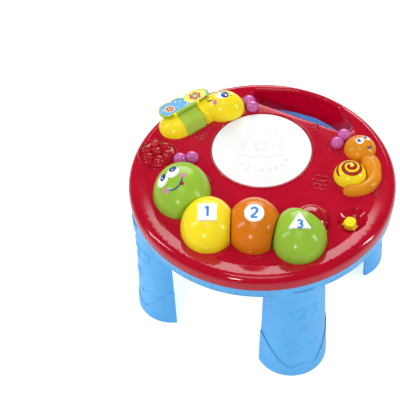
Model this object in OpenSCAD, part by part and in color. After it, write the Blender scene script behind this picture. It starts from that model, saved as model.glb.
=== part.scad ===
// Musical activity table: a round red top with light-up and sounding toys on four pull-off legs.
// Millimetres, +Z up. The origin is on the floor under the middle of the top, and the handle is towards +Y.

/* [Table top] */
// Radius of the round top
top_r = 160; // [157:0.5:164]
// Height of the playing deck above the floor
deck_z = 190; // [180:1:210]
// Depth of the red cover from the deck down to the seam
cover_h = 15.3; // [14:0.1:17]
// Height of the rounded rim above the deck
rim_rise = 2.4; // [1.5:0.1:3.5]
// Width of the rounded rim
rim_w = 23; // [18:1:26]
// Radius of the rim's outer rounding
rim_round = 9.6; // [8:0.2:11]
// Wall thickness of the cover and the tray
wall = 2.6; // [2.2:0.1:3]

/* [Tray] */
// Height of the blue band that shows under the seam
band_h = 13; // [11:0.5:15]
// Depth of the tray below the band
tray_drop = 13.7; // [13:0.1:17]
// Step from the band's outside in to the tray's wall
band_step = 10; // [8:0.5:11]
// Radius of the rounding round the tray's bottom edge
tray_round = 7; // [4:0.5:9]

/* [Legs] */
// Distance from the middle of the top to the middle of a leg's curve
leg_place = 120; // [117:0.5:122]
// Radius of a leg at its top end
leg_top_r = 37.5; // [35:0.5:38]
// Radius of a leg at the floor
leg_foot_r = 43; // [40:0.5:46]
// Wall thickness of a leg
leg_wall = 3; // [2.4:0.1:3.6]
// How far the raised boot stands out round the foot
boot_rise = 1.1; // [0.6:0.1:1.6]
// Width of a leg's tenon
tenon_w = 40; // [30:1:46]
// Thickness of a leg's tenon
tenon_t = 13; // [9:0.5:14]
// Height of a leg's tenon above its top plate
tenon_h = 11; // [6:0.5:12]

/* [Handle] */
// Radius of the rounded tips of the hand hole where it meets the deck
handle_tip_r = 9; // [7:0.5:10]
// Radius of the rounded middle of the hand hole
handle_mid_r = 14; // [12:0.5:15]
// How much the hand hole narrows from the deck to the tray
handle_taper = 11; // [8:0.5:13]

/* [Drum] */
// Radius of the white drum pad
drum_r = 60.7; // [57:0.5:63]
// Travel of the drum pad when it is hit
drum_travel = 2; // [1:0.1:2.4]

/* [Worm keys] */
// Half the width of a key along the worm
key_a = 32.3; // [30:0.1:34]
// Half the width of a key across the worm
key_b = 38.5; // [36:0.5:40]
// Height of a key above the deck
key_h = 33; // [28:0.5:36]
// Half the width of the worm's head along its body
head_a = 34.3; // [32:0.1:36]
// Half the width of the worm's head across its body
head_b = 40; // [37:0.5:42]
// Height of the worm's head above the deck
head_h = 34; // [28:0.5:37]
// Travel of a key when it is pressed
key_travel = 3; // [1.5:0.1:3.5]
// Wall thickness of a key
key_wall = 2; // [1.6:0.1:2.4]
// Side of the square label on the first key
label_w = 22; // [18:0.5:24]
// Height of a label above its key
label_rise = 1.6; // [1:0.1:2.4]

/* [Butterfly] */
// Radius of the fluted roller
roller_r = 22.5; // [20:0.25:23]
// Length of the roller
roller_l = 29.4; // [26:0.2:31]
// Depth of the roller's axis below the deck
roller_drop = 4.5; // [4:0.1:6]
// Half the length of the butterfly's head
fly_head_a = 27; // [25:0.5:28]
// Half the width of the butterfly's head
fly_head_b = 22.5; // [20:0.5:24]
// Height of the butterfly's head
fly_head_h = 25; // [20:0.5:27]
// Thickness of the wing
wing_t = 2.2; // [1.8:0.1:2.6]

/* [Snail] */
// Radius of the snail's turning shell
shell_r = 19.7; // [17:0.1:20]
// Height of the snail's shell
shell_h = 19; // [15:0.5:19.5]
// Radius of the snail's head
snail_head_r = 19.5; // [17:0.5:20.5]
// Width of the snail's body where it curls round the shell
snail_body_w = 17; // [14:0.5:18]

/* [Lenses and knobs] */
// Radius of the clear red lenses
lens_r = 21; // [18:0.5:21.5]
// Radius of the antenna balls
ball_r = 8; // [7:0.1:8.5]
// Travel of the switch knob to each side of its middle
switch_travel = 5; // [3:0.5:6]

/* [Electrics] */
// Radius of a battery
cell_r = 7.1; // [6.8:0.05:7.25]
// Length of a battery
cell_l = 50.5; // [48:0.5:51]
// Radius of the loudspeaker
speaker_r = 25; // [20:0.5:27]
// Thickness of the circuit boards
board_t = 1.6; // [1.2:0.1:2]

/* [Fits] */
// Gap between a part and the opening that it shows through
gap = 0.6; // [0.4:0.05:0.9]
// Gap round a shaft that turns or slides in a hole
run_gap = 0.06; // [0.03:0.01:0.09]
// Gap between pieces that are put together
fit = 0.3; // [0.2:0.05:0.4]

/* [Hidden] */
$fn = 96;

// Heights, from the deck down
seam_z = deck_z - cover_h;
under_deck = deck_z - wall;
band_z = seam_z - band_h;
tray_z = band_z - tray_drop;
tray_floor = tray_z + wall;
flange_t = 2;
flange_z = under_deck - fit - flange_t;
board_z = tray_floor + 17.4;
board_top = board_z + board_t;
far = 400;

// Radii of the case
band_r = top_r - 1.2;
tray_r = band_r - band_step;
lip_r = top_r - wall - fit;
lip_t = 2.2;
lip_h = 3;

function polar(r, a) = [r * cos(a), r * sin(a)];
function bearing(p, q) = atan2(q.y - p.y, q.x - p.x);

// Where things are on the deck. The worm's body runs at this angle to +X
turn = 27.6;
head_c = [-71, -68];
yellow_c = [-18, -99.5];
orange_c = [30, -76];
green_c = [82, -65];
tail_lens_c = [83, -37];
flower_c = [-129, -27];
drum_c = [-20, 38.5];
fly_c = [-131.5, 26.5];
fly_turn = 66.5;
fly_head_c = [-94.5, 77.5];
shell_c = [93.5, 48];
snail_head_c = [86, 93];
switch_c = [124.5, -12.6];
switch_turn = 84;
cat_balls = [[-99.5, -23], [-88, -14]];
fly_balls = [[-71.5, 103], [-63, 96]];
snail_balls = [[57.5, 88.5], [59, 104.5]];
leg_angles = [-135, -45, 135, 45];
screw_spots = [polar(142, -110), polar(142, -70), polar(142, -20), polar(141, 17), [36, 97], [-46, 103],
  [-103, 3], [-126, -60]];

// The hand hole's outline: two tips and a fuller middle, each [x, y, 0 for a tip or 1 for the middle]
handle_spots = [[-67, 119, 0], [53, 121, 0], [-22, 133.5, 1], [6, 136, 1], [28, 132, 1]];
handle_mid = [-6, 122];

// Cross-section of the cover: a flat deck, a ramp up to the rim, and the rim's round edge
module cover_section(inset, base) {
  round_x = top_r - rim_round;
  round_z = deck_z + rim_rise - rim_round;
  intersection() {
    union() {
      translate([round_x, round_z]) circle(r = rim_round - inset, $fn = 120);
      translate([round_x, base]) square([rim_round - inset, round_z - base]);
      polygon([[0, base], [round_x, base], [round_x, deck_z + rim_rise - inset],
        [top_r - rim_w, deck_z - inset], [0, deck_z - inset]]);
    }
    translate([0, base]) square([top_r, far]);
  }
}

module cover_solid(inset, base) rotate_extrude($fn = 180) cover_section(inset, base);

// Everything above the cover's outer surface, so that a trim piece sits on the deck and the rim
module on_deck()
  difference() {
    union() children();
    translate([0, 0, 0.05]) cover_solid(0, deck_z - 60);
    translate([drum_c.x, drum_c.y, deck_z - 1])
      cylinder(r = drum_r + bead_off + bead_r + 0.1, h = 1 + bead_r + 0.06, $fn = 180);
  }

// The raised bead round the drum: its distance from the drum's edge, and its radius
bead_off = 2.4;
bead_r = 1.1;

module handle_outline(shrink, grow)
  hull()
    for (p = handle_spots)
      let (k = 1 - shrink / 70)
        translate([handle_mid.x + (p.x - handle_mid.x) * k,
          handle_mid.y + (p.y - handle_mid.y) * k - p.z * shrink * 0.45])
          circle(r = (p.z == 0 ? handle_tip_r : handle_mid_r - shrink * 0.3) + grow, $fn = 40);

// The sloped mouth of the hand hole, from the deck down to the tray's sleeve
module handle_funnel(grow)
  hull() {
    translate([0, 0, deck_z - 1]) linear_extrude(8) handle_outline(0, grow);
    translate([0, 0, band_z + 1]) linear_extrude(1) handle_outline(handle_taper, grow);
  }

module handle_hole(grow, z0, z1)
  translate([0, 0, z0]) linear_extrude(z1 - z0) handle_outline(handle_taper, grow);

// Removes all that lies past the line between c and its neighbour, less the gap g
module beyond(c, other, share, g)
  translate([c.x + (other.x - c.x) * share, c.y + (other.y - c.y) * share, 0])
    rotate(bearing(c, other))
      translate([-g, -far / 2, 0]) cube([far, far, far]);

key_gap = 0.5;
head_cuts = [[yellow_c, 0.52]];
yellow_cuts = [[head_c, 0.48], [orange_c, 0.5]];
orange_cuts = [[yellow_c, 0.5], [green_c, 0.5]];
green_cuts = [[orange_c, 0.5], [tail_lens_c, 0.72]];
lens_cuts = [[green_c, 0.28]];

module oval(a, b, z, h) translate([0, 0, z]) linear_extrude(h) scale([a / b, 1]) circle(r = b);

// A button's cap: a dome on a short skirt, with or without a flange round its foot
module cap(c, a, b, h, flange_w = 0, sink = 0)
  translate([c.x, c.y, deck_z - sink]) rotate(turn) {
    difference() {
      scale([a / h, b / h, 1]) sphere(r = h);
      translate([-far / 2, -far / 2, -far]) cube(far);
    }
    oval(a, b, flange_z - deck_z, deck_z - flange_z);
    if (flange_w > 0) oval(a + flange_w, b + flange_w, flange_z - deck_z, flange_t);
  }

// The openings in the deck for the head and the three keys, which run into each other
module cap_openings()
  translate([0, 0, under_deck - 1]) linear_extrude(wall + 6) {
    oval_outline(head_c, head_a + gap, head_b + gap);
    for (c = [yellow_c, orange_c, green_c]) oval_outline(c, key_a + gap, key_b + gap);
  }

module oval_outline(c, a, b) translate(c) rotate(turn) scale([a / b, 1]) circle(r = b);

post_r = 4;
post_z = tray_floor + 5.4;
sleeve_r = 6.5;
neck_r = 5.6;
contact_off = 15;
contact_h = 3.4;
spring_r = 8;

// A key: a hollow dome with crossed webs, a guide post and a pin that meets its rubber contact
module key(c, a, b, h, cuts) {
  difference() {
    cap(c, a, b, h, 1.8);
    difference() {
      cap(c, a - key_wall, b - key_wall, h - key_wall, 0, 0.01);
      for (q = cuts) beyond(c, q[0], q[1], key_gap + key_wall);
      key_webs(c, a, b, h);
    }
    for (q = cuts) beyond(c, q[0], q[1], key_gap);
  }
  translate([c.x, c.y, post_z]) cylinder(r = post_r, h = flange_z + 1 - post_z, $fn = 48);
  translate([c.x, c.y, board_top + contact_h + key_travel + fit]) rotate(turn + 90)
    translate([contact_off, 0])
    cylinder(r = 2, h = flange_z + 1 - board_top - contact_h - key_travel - fit, $fn = 32);
}

module key_webs(c, a, b, h)
  translate([c.x, c.y, flange_z - 1]) rotate(turn) {
    translate([-a, -1, 0]) cube([2 * a, 2, h + 10]);
    translate([-1, -b, 0]) cube([2, 2 * b, h + 10]);
    cylinder(r = post_r + 1, h = h + 10, $fn = 48);
  }

module key_spring(c)
  color("silver") translate([c.x, c.y, board_top + 0.1])
    difference() {
      cylinder(r = spring_r, h = flange_z - board_top - 0.2, $fn = 48);
      translate([0, 0, -1]) cylinder(r = spring_r - 1.4, h = far, $fn = 48);
    }

// The top of a key's dome, where its label stands
module label_place(c, lean)
  translate([c.x, c.y, deck_z]) rotate(turn) rotate([lean, 0, 0]) children();

module label(c, h, lean)
  color("white")
    difference() {
      label_place(c, lean) linear_extrude(h + label_rise) children();
      cap(c, key_a, key_b, key_h + 0.03);
    }

module antennae(balls, lift)
  color("orchid")
    on_deck() {
      for (p = balls) translate([p.x, p.y, deck_z + lift]) sphere(r = ball_r);
      hull() for (p = balls) translate([p.x, p.y, deck_z - 1]) cylinder(r = ball_r * 0.55, h = 4, $fn = 32);
    }

// ---- cases ----

module screw_boss_hole(p, r, z0, h)
  translate([p.x, p.y, z0]) cylinder(r = r, h = h, $fn = 32);

boss_r = 4;
pilot_r = 1.3;
clear_r = 1.8;
boss_meet = band_z + 3;
trim_spots = [fly_head_c, [-138, 10], snail_head_c, [119, 34], [108, 25]];
lamp_spots = [[-38, 50], [-2, 50], [-20, 24]];
reflector_r = drum_r + 6.8;
reflector_angles = [0, 70, 145, 215, 285];
reflector_top = flange_z - drum_travel - 1.6;
bowl_r = 18.5;
bowl_d = 9;
bowl_ball = (bowl_r * bowl_r + bowl_d * bowl_d) / (2 * bowl_d);
bracket_t = 3;

module fly_frame(z) translate([fly_c.x, fly_c.y, z]) rotate(fly_turn) children();

module top_shell()
  color("crimson")
    difference() {
      union() {
        difference() {
          cover_solid(0, seam_z);
          cover_solid(wall, seam_z - 1);
        }
        intersection() {
          handle_funnel(wall);
          cover_solid(0.5, band_z);
          translate([-far / 2, -far / 2, band_z + wall + 0.1]) cube(far);
        }
        for (p = screw_spots) screw_boss_hole(p, boss_r, boss_meet, under_deck + 1 - boss_meet);
        for (a = reflector_angles)
          translate([drum_c.x, drum_c.y, reflector_top]) rotate(a) translate([reflector_r, 0, 0])
            cylinder(r = 3, h = under_deck + 0.5 - reflector_top, $fn = 32);
        // bead round the drum
        translate([drum_c.x, drum_c.y, deck_z]) rotate_extrude($fn = 180)
          translate([drum_r + bead_off, 0]) circle(r = bead_r, $fn = 24);
        // bush of the snail's shell
        translate([shell_c.x, shell_c.y, under_deck - 4]) cylinder(r = 6.5, h = 5, $fn = 48);
        // switch bowl
        intersection() {
          bowl(wall);
          translate([switch_c.x, switch_c.y, deck_z - bowl_d - wall])
            cylinder(r = bowl_r + 6, h = bowl_d + wall - 1);
        }
        for (x = [-1, 1]) switch_frame(switch_base + 6) translate([x * ear_x, 0, 0])
          cylinder(r = 1.5, h = deck_z - bowl_d + 2.2 - switch_base - 6, $fn = 32);
        // bearing plates of the roller
        for (t = [-fit - bracket_t, roller_l + fit]) fly_frame(deck_z - roller_drop) translate([t, -6, -4])
          cube([bracket_t, 12, roller_drop + 4 - 1]);
      }
      translate([drum_c.x, drum_c.y, under_deck - 1]) cylinder(r = drum_r + gap, h = 10, $fn = 180);
      cap_openings();
      for (c = [tail_lens_c, flower_c])
        translate([c.x, c.y, under_deck - 1]) cylinder(r = lens_r + fit, h = 10);
      handle_funnel(0);
      for (p = screw_spots) screw_boss_hole(p, pilot_r, boss_meet - 1, 16);
      for (p = trim_spots) screw_boss_hole(p, clear_r, under_deck - 1, 10);
      fly_frame(under_deck - 8) translate([-fit, -roller_r - gap, 0])
        cube([roller_l + 2 * fit, 2 * (roller_r + gap), 20]);
      fly_frame(deck_z - roller_drop) translate([-10, 0, 0]) rotate([0, 90, 0])
        cylinder(r = axle_r + 0.02, h = roller_l + 20, $fn = 32);
      translate([shell_c.x, shell_c.y, under_deck - 5]) cylinder(r = shaft_r + run_gap, h = 12, $fn = 48);
      bowl(0);
      switch_slot();
    }

axle_r = 1.5;
shaft_r = 3;
knob_r = 7.4;
knob_z = deck_z - bowl_d + 3.9;
knob_h = 8.2;

module switch_frame(z) translate([switch_c.x, switch_c.y, z]) rotate(switch_turn) children();

// The ball that hollows the switch's bowl, drawn out along the knob's travel
module bowl(grow)
  switch_frame(deck_z - bowl_d + bowl_ball) scale([1.08, 0.88, 1]) sphere(r = bowl_ball + grow);

module switch_slot()
  switch_frame(deck_z - bowl_d - wall - 1)
    translate([-switch_travel - 3, -2 - fit, 0]) cube([2 * switch_travel + 6, 4 + 2 * fit, wall + 4]);

// Cross-section of the tray: the band, a step in, and a rounded bottom
module tray_section(inset, top) {
  round_x = tray_r - tray_round;
  translate([0, tray_z + inset]) square([round_x, top - tray_z - inset]);
  translate([round_x, tray_z + tray_round]) circle(r = tray_round - inset, $fn = 96);
  translate([round_x - 1, tray_z + tray_round]) square([tray_round + 1 - inset, top - tray_z - tray_round]);
  translate([0, band_z + inset]) square([band_r - inset, top - band_z - inset]);
}

module tray_solid(inset, top) rotate_extrude($fn = 180) tray_section(inset, top);

// A leg's outline seen from above: part of a circle that opens towards the middle of the table
leg_open = leg_place + 6;
leg_top = band_z - 0.1;

module leg_socket(grow, z0, z1)
  intersection() {
    translate([leg_place, 0, z0]) cylinder(r = leg_top_r + 0.5 + fit + grow, h = z1 - z0, $fn = 120);
    translate([leg_open - fit - grow, -far / 2, z0 - 1]) cube([far, far, far]);
  }

tenon_x = leg_place + 12;

module tenon_box(grow, z1)
  translate([tenon_x - grow, -tenon_w / 2 - grow, leg_top - 1])
    cube([tenon_t + 2 * grow, tenon_w + 2 * grow, z1 - leg_top + 1]);

// Battery well and speaker places in the tray
well_c = [5, -25];
well_l = cell_l + 8;
well_w = 6 * cell_r + 3;
well_top = tray_floor + 2 * cell_r + 1.2;
speaker_c = [78, 14];
speaker_z = tray_floor + 1.2;
strap_z = speaker_z + 16.1;
strap_x = speaker_r + 6;
strap_spots = [for (x = [-strap_x, strap_x]) speaker_c + [x, 0]];
main_c = [-20, 38];
main_w = 96;
main_d = 70;
main_bosses = [for (x = [-1, 1], y = [-1, 1]) [x * (main_w / 2 - 5), y * (main_d / 2 - 5)]];
key_spots = [head_c, yellow_c, orange_c, green_c];

module well_box(grow, z0, z1)
  translate([well_c.x - well_l / 2 - grow, well_c.y - well_w / 2 - grow, z0])
    cube([well_l + 2 * grow, well_w + 2 * grow, z1 - z0]);

door_x = well_l / 2 + 4;
door_y = well_w / 2 + 8;
door_screw_c = [well_c.x, well_c.y - well_w / 2 - 5];

module bottom_shell()
  color("deepskyblue")
    difference() {
      union() {
        difference() {
          tray_solid(0, seam_z);
          tray_solid(wall, seam_z + 1);
        }
        // lip that centres the cover
        translate([0, 0, seam_z - 4]) difference() {
          cylinder(r = lip_r, h = 4 + lip_h, $fn = 180);
          translate([0, 0, -1]) cylinder(r = lip_r - lip_t, h = 20, $fn = 180);
        }
        for (a = leg_angles) rotate(a) {
          leg_socket(wall, tray_z + 1, band_z + wall);
          tenon_box(2 + fit, leg_top + tenon_h + 2.5);
        }
        well_box(2, tray_z + 0.5, well_top + 2);
        for (c = key_spots) {
          translate([c.x, c.y, tray_z + 0.5]) cylinder(r = sleeve_r, h = board_z - tray_z - 0.5, $fn = 48);
          translate([c.x, c.y, board_z - 1]) cylinder(r = neck_r, h = board_t + 4, $fn = 48);
        }
        for (p = screw_spots) screw_boss_hole(p, boss_r, tray_z + 2.2, boss_meet - fit - tray_z - 2.2);
        for (p = main_bosses) screw_boss_hole(main_c + p, 3.5, tray_z + 0.5, board_z - tray_z - 0.5);
        for (p = strap_spots) screw_boss_hole(p, 3.5, tray_z + 0.5, strap_z - 0.03 - tray_z - 0.5);
        screw_boss_hole(door_screw_c, boss_r, tray_z + 0.5, 14);
        difference() {
          translate([speaker_c.x, speaker_c.y, tray_z + 0.5]) cylinder(r = speaker_r + 2.4, h = 6, $fn = 96);
          translate([speaker_c.x, speaker_c.y, tray_z]) cylinder(r = speaker_r + fit, h = 20, $fn = 96);
        }
        handle_hole(wall, tray_z + 0.5, band_z + wall);
      }
      handle_hole(0, tray_z - 1, seam_z);
      for (a = leg_angles) rotate(a) {
        leg_socket(0, tray_z - 1, band_z);
        tenon_box(fit, leg_top + tenon_h + 0.5);
      }
      well_box(0, tray_z - 1, well_top);
      for (w = [0, 1]) translate(wires[w][0] - [6, 0, 0]) rotate([0, 90, 0])
        cylinder(r = wire_r + 0.2, h = 8, $fn = 24);
      translate([well_c.x - door_x - fit, well_c.y - door_y - fit, tray_z - 1])
        cube([2 * (door_x + fit), 2 * (door_y + fit), 1 + wall - 0.8]);
      for (c = key_spots) translate([c.x, c.y, post_z - key_travel - 0.4])
        cylinder(r = post_r + run_gap, h = 60, $fn = 48);
      for (p = screw_spots) {
        screw_boss_hole(p, clear_r, tray_z - 1, 60);
        screw_boss_hole(p, 3.2, tray_z - 1, 4);
      }
      for (p = main_bosses) screw_boss_hole(main_c + p, 1.1, board_z - 8, 30);
      for (p = strap_spots) screw_boss_hole(p, 1.1, strap_z - 8, 30);
      screw_boss_hole(door_screw_c, pilot_r, tray_z - 1, 13);
      // speaker grille
      for (i = [0:3], j = [0:11])
        if (i > 0 || j == 0)
          translate([speaker_c.x, speaker_c.y, tray_z - 1]) rotate(j * 30 + i * 8) translate([i * 6, 0, 0])
            cylinder(r = 1.3, h = 6, $fn = 24);
    }

// ---- legs ----

// Top edge of the boot: high at the sides, low in front with a small peak in the middle
function boot_edge(y) = let (u = abs(y) / leg_foot_r)
  11 + 56 * pow(u, 2.4) + 12 * pow(cos(90 * min(1, u * 2.4)), 2);

leg_slope = (leg_foot_r - leg_top_r) / leg_top;
boot_top = 70;
function leg_r(z) = leg_foot_r - leg_slope * z;

// The wall and the top plate of a leg, as one turned shape
module leg_wall_ring()
  translate([leg_place, 0, 0]) rotate_extrude($fn = 120)
    polygon([[leg_r(0) - leg_wall, 0], [leg_r(0), 0], [leg_r(leg_top), leg_top], [0, leg_top],
      [0, leg_top - leg_wall], [leg_r(leg_top) - leg_wall, leg_top - leg_wall]]);

module boot_ring()
  translate([leg_place, 0, 0]) rotate_extrude($fn = 120)
    polygon([[leg_r(0) - 1, 0], [leg_r(0) + boot_rise, 0],
      [leg_r(boot_top) + boot_rise, boot_top], [leg_r(boot_top) - 1, boot_top]]);

// An upright rib inside a leg, y to one side of its middle
module leg_rib(y)
  translate([leg_place, y + 1, 0]) rotate([90, 0, 0]) linear_extrude(2)
    polygon([for (q = [[0, -4.5], [0, 0], [leg_top - 1, 0], [leg_top - 1, -4.5]])
      [sqrt(pow(leg_r(q.x) - leg_wall, 2) - y * y) + q.y + 0.5, q.x]]);

module leg(a)
  color("deepskyblue") rotate(a) {
    difference() {
      union() {
        leg_wall_ring();
        intersection() {
          boot_ring();
          rotate([90, 0, 90]) translate([0, 0, leg_place]) linear_extrude(80)
            polygon(concat([for (i = [-24:24]) [i * 2, boot_edge(i * 2)]], [[48, -1], [-48, -1]]));
        }
      }
      translate([0, -80, -1]) cube([leg_open, 160, leg_top + 2]);
    }
    for (y = [-18, 18]) leg_rib(y);
    difference() {
      tenon_box(0, leg_top + tenon_h);
      translate([tenon_x + 2, -tenon_w / 2 + 2, leg_top + 1]) cube([tenon_t - 4, tenon_w - 4, far]);
    }
  }

// ---- drum ----

module drum_pad()
  color("white") translate([drum_c.x, drum_c.y, 0]) {
    rotate_extrude($fn = 180) polygon(concat(
      [[0, flange_z], [drum_r + 2, flange_z], [drum_r + 2, flange_z + flange_t],
        [drum_r, flange_z + flange_t]],
      [[drum_r, deck_z - 0.2], [drum_r - 0.5, deck_z + 0.2]],
      [for (i = [1:10]) let (u = 1 - i / 10) [(drum_r - 0.5) * u, deck_z + 0.2 + 0.8 * (1 - u * u)]]));
    for (a = spring_angles) rotate(a) translate([spring_place, 0, flange_z - 2.5])
      cylinder(r = 2.2, h = 3, $fn = 32);
  }

spring_place = drum_r - 8.7;
spring_angles = [30, 150, 270];
contact_angles = [90, 210, 330];
cup_z = board_top + 6;
cup_r = drum_r - 24.7;

module drum_reflector()
  color("whitesmoke") translate([drum_c.x, drum_c.y, 0])
    difference() {
      union() {
        rotate_extrude($fn = 120) polygon([[0, cup_z - 1], [cup_r, cup_z - 1],
          [cup_r + 10, reflector_top - 1.6],
          [drum_r + 3, reflector_top - 1.6], [drum_r + 3, reflector_top - 0.1],
            [cup_r + 9, reflector_top - 0.1],
          [cup_r - 0.6, cup_z + 0.4], [0, cup_z + 0.4]]);
        for (a = reflector_angles) rotate(a) translate([reflector_r - 6, -3, reflector_top - 1.6])
          cube([8.5, 6, 1.5]);
        for (a = spring_angles) rotate(a) translate([spring_place, 0, cup_z - 2])
          cylinder(r = 5, h = reflector_top - cup_z + 1.9, $fn = 48);
      }
      for (a = spring_angles) rotate(a) translate([spring_place, 0, cup_z - 0.8])
        cylinder(r = 3.9, h = 20, $fn = 48);
      for (p = lamp_spots) translate([p.x - drum_c.x, p.y - drum_c.y, cup_z - 5])
        cylinder(r = 2.9, h = 10, $fn = 32);
    }

module drum_springs()
  color("silver") translate([drum_c.x, drum_c.y, 0])
    for (a = spring_angles) rotate(a) translate([spring_place, 0, cup_z - 0.7])
      difference() {
        cylinder(r = 3.6, h = flange_z - cup_z + 0.6, $fn = 48);
        translate([0, 0, -1]) cylinder(r = 2.5, h = 30, $fn = 48);
      }

module drum_contacts()
  color("dimgray") translate([drum_c.x, drum_c.y, 0])
    for (a = contact_angles) rotate(a) translate([spring_place, 0, reflector_top - 0.1])
      cylinder(r = 4, h = 1.2, $fn = 32);

// ---- worm ----

module head_button() color("yellowgreen") key(head_c, head_a, head_b, head_h, head_cuts);
module yellow_key() color("gold") key(yellow_c, key_a, key_b, key_h, yellow_cuts);
module orange_key() color("darkorange") key(orange_c, key_a, key_b, key_h, orange_cuts);
module green_key() color("yellowgreen") key(green_c, key_a, key_b, key_h, green_cuts);
module head_spring() key_spring(head_c);
module yellow_spring() key_spring(yellow_c);
module orange_spring() key_spring(orange_c);
module green_spring() key_spring(green_c);

label_lean = 8;
module square_label() label(yellow_c, key_h, label_lean) square(label_w, center = true);
module round_label() label(orange_c, key_h, label_lean) circle(r = label_w * 0.52, $fn = 64);
module triangle_label() label(green_c, key_h, label_lean)
  polygon([for (a = [90, 210, 330]) polar(label_w * 0.66, a)]);

// The board under the keys: a round pad at each key, joined by straight strips
module key_board()
  color("darkgreen") translate([0, 0, board_z + 0.02])
    difference() {
      union() {
        for (c = key_spots) translate([c.x, c.y, 0]) cylinder(r = 21, h = board_t, $fn = 64);
        for (i = [0:2]) let (p = key_spots[i], q = key_spots[i + 1])
          translate([p.x, p.y, 0]) rotate(bearing(p, q)) translate([0, -9, 0])
            cube([norm(q - p), 18, board_t]);
      }
      for (c = key_spots) translate([c.x, c.y, -1]) cylinder(r = neck_r + fit, h = 10, $fn = 48);
      well_box(3, -1 - board_z, 10);
    }

module key_contacts()
  color("dimgray")
    for (c = key_spots) translate([c.x, c.y, board_top + 0.03]) rotate(turn + 90)
      translate([contact_off, 0, 0])
      cylinder(r = 4.5, h = contact_h - 0.03, $fn = 48);

module worm_antennae() antennae(cat_balls, 2);

lens_rise = 9;

module lens_dome(c, rise)
  translate([c.x, c.y, 0]) rotate_extrude($fn = 120) polygon(concat(
    [[0, flange_z], [lens_r + 1.8, flange_z], [lens_r + 1.8, flange_z + flange_t],
      [lens_r, flange_z + flange_t]],
    [for (i = [0:10]) [lens_r * cos(i * 9), deck_z + 1 + rise * sin(i * 9)]]));

module lens_hollow(c, rise)
  translate([c.x, c.y, 0]) rotate_extrude($fn = 120) polygon(concat([[0, flange_z - 1],
    [lens_r - 2, flange_z - 1]],
    [for (i = [0:10]) [(lens_r - 2) * cos(i * 9), deck_z - 1 + rise * sin(i * 9)]]));

module tail_lens()
  color("firebrick")
    difference() {
      lens_dome(tail_lens_c, 17);
      difference() {
        lens_hollow(tail_lens_c, 17);
        for (q = lens_cuts) beyond(tail_lens_c, q[0], q[1], key_gap + key_wall);
      }
      for (q = lens_cuts) beyond(tail_lens_c, q[0], q[1], key_gap);
    }

// Clear red flower: six round petals and a button in the middle, on a low dome
module flower_lens()
  color("firebrick")
    difference() {
      union() {
        lens_dome(flower_c, 3);
        for (i = [0:5]) translate([flower_c.x, flower_c.y, deck_z + 2]) rotate(i * 60 + 10)
          translate([lens_r * 0.62, 0, 0]) sphere(r = lens_r * 0.33, $fn = 48);
        translate([flower_c.x, flower_c.y, deck_z + 3]) sphere(r = lens_r * 0.3, $fn = 48);
      }
      lens_hollow(flower_c, 1);
    }

// ---- butterfly ----

fly_z = deck_z - roller_drop;
pin_r = 1;
knuckle_r = 2.2;
pin_z = fly_z + roller_r + 0.4 + knuckle_r;
tail_l = 25;

module fly_body_end(t0, len)
  fly_frame(fly_z) translate([t0, 0, 0]) rotate([0, 90, 0]) cylinder(r = roller_r - 0.2, h = len, $fn = 96);

module lug(t0, len)
  fly_frame(pin_z) translate([t0, 0, 0]) {
    rotate([0, 90, 0]) cylinder(r = knuckle_r, h = len, $fn = 32);
    translate([0, -knuckle_r, -6]) cube([len, 2 * knuckle_r, 6]);
  }

module trim_boss(p, h)
  translate([p.x, p.y, deck_z - 1]) cylinder(r = 3.5, h = h, $fn = 32);

module butterfly_tail()
  color("gold")
    difference() {
      on_deck() {
        difference() {
          union() {
            fly_frame(fly_z) translate([-fit, 0, 0]) scale([tail_l / roller_r, 1, 1])
              sphere(r = roller_r - 0.2);
            lug(-4.5, 4);
          }
          difference() {
            fly_frame(fly_z) translate([-fit, 0, 0]) scale([tail_l / roller_r, 1, 1])
              sphere(r = roller_r - 2.4);
            trim_boss(trim_spots[1], 30);
            fly_frame(0) translate([-fit - 2.2, -far / 2, 0]) cube(far);
          }
        }
      }
      fly_frame(0) translate([-fit, -far / 2, 0]) cube(far);
      screw_boss_hole(trim_spots[1], pilot_r, deck_z - 1, 10);
      fly_frame(pin_z) translate([-10, 0, 0]) rotate([0, 90, 0]) cylinder(r = pin_r + 0.02, h = 20, $fn = 32);
    }

module fly_head_dome(inset)
  translate([fly_head_c.x, fly_head_c.y, deck_z]) rotate(turn)
    scale([(fly_head_a - inset) / (fly_head_h - inset),
    (fly_head_b - inset) / (fly_head_h - inset), 1]) sphere(r = fly_head_h - inset);

module butterfly_head()
  color("gold")
    difference() {
      on_deck() {
        difference() {
          union() {
            fly_head_dome(0);
            fly_body_end(roller_l + fit, 16);
            lug(roller_l + 0.5, 4);
          }
          difference() {
            union() {
              fly_head_dome(2);
              fly_frame(fly_z) translate([roller_l + fit + 2, 0, 0]) rotate([0, 90, 0])
                cylinder(r = roller_r - 2.4, h = 12);
            }
            trim_boss(trim_spots[0], 30);
          }
        }
      }
      fly_frame(0) translate([roller_l + fit - far, -far / 2, 0]) cube(far);
      screw_boss_hole(trim_spots[0], pilot_r, deck_z - 1, 10);
      fly_frame(pin_z) translate([roller_l - 10, 0, 0]) rotate([0, 90, 0])
        cylinder(r = pin_r + 0.02, h = 18, $fn = 32);
    }

module butterfly_antennae() antennae(fly_balls, 2);

lobes = 8;
lobe_r = 8.5;
module roller()
  color("yellowgreen") fly_frame(fly_z) rotate([0, 90, 0])
    difference() {
      union() {
        cylinder(r = roller_r - 2.2, h = roller_l);
        for (i = [0:lobes - 1]) rotate(i * 360 / lobes) translate([roller_r - lobe_r, 0, 0])
          cylinder(r = lobe_r, h = roller_l, $fn = 48);
      }
      translate([0, 0, -1]) cylinder(r = axle_r + run_gap, h = roller_l + 2, $fn = 32);
    }

module roller_axle()
  color("silver") fly_frame(fly_z) translate([-fit - bracket_t, 0, 0]) rotate([0, 90, 0])
    cylinder(r = axle_r, h = roller_l + 2 * (fit + bracket_t), $fn = 32);

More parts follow.
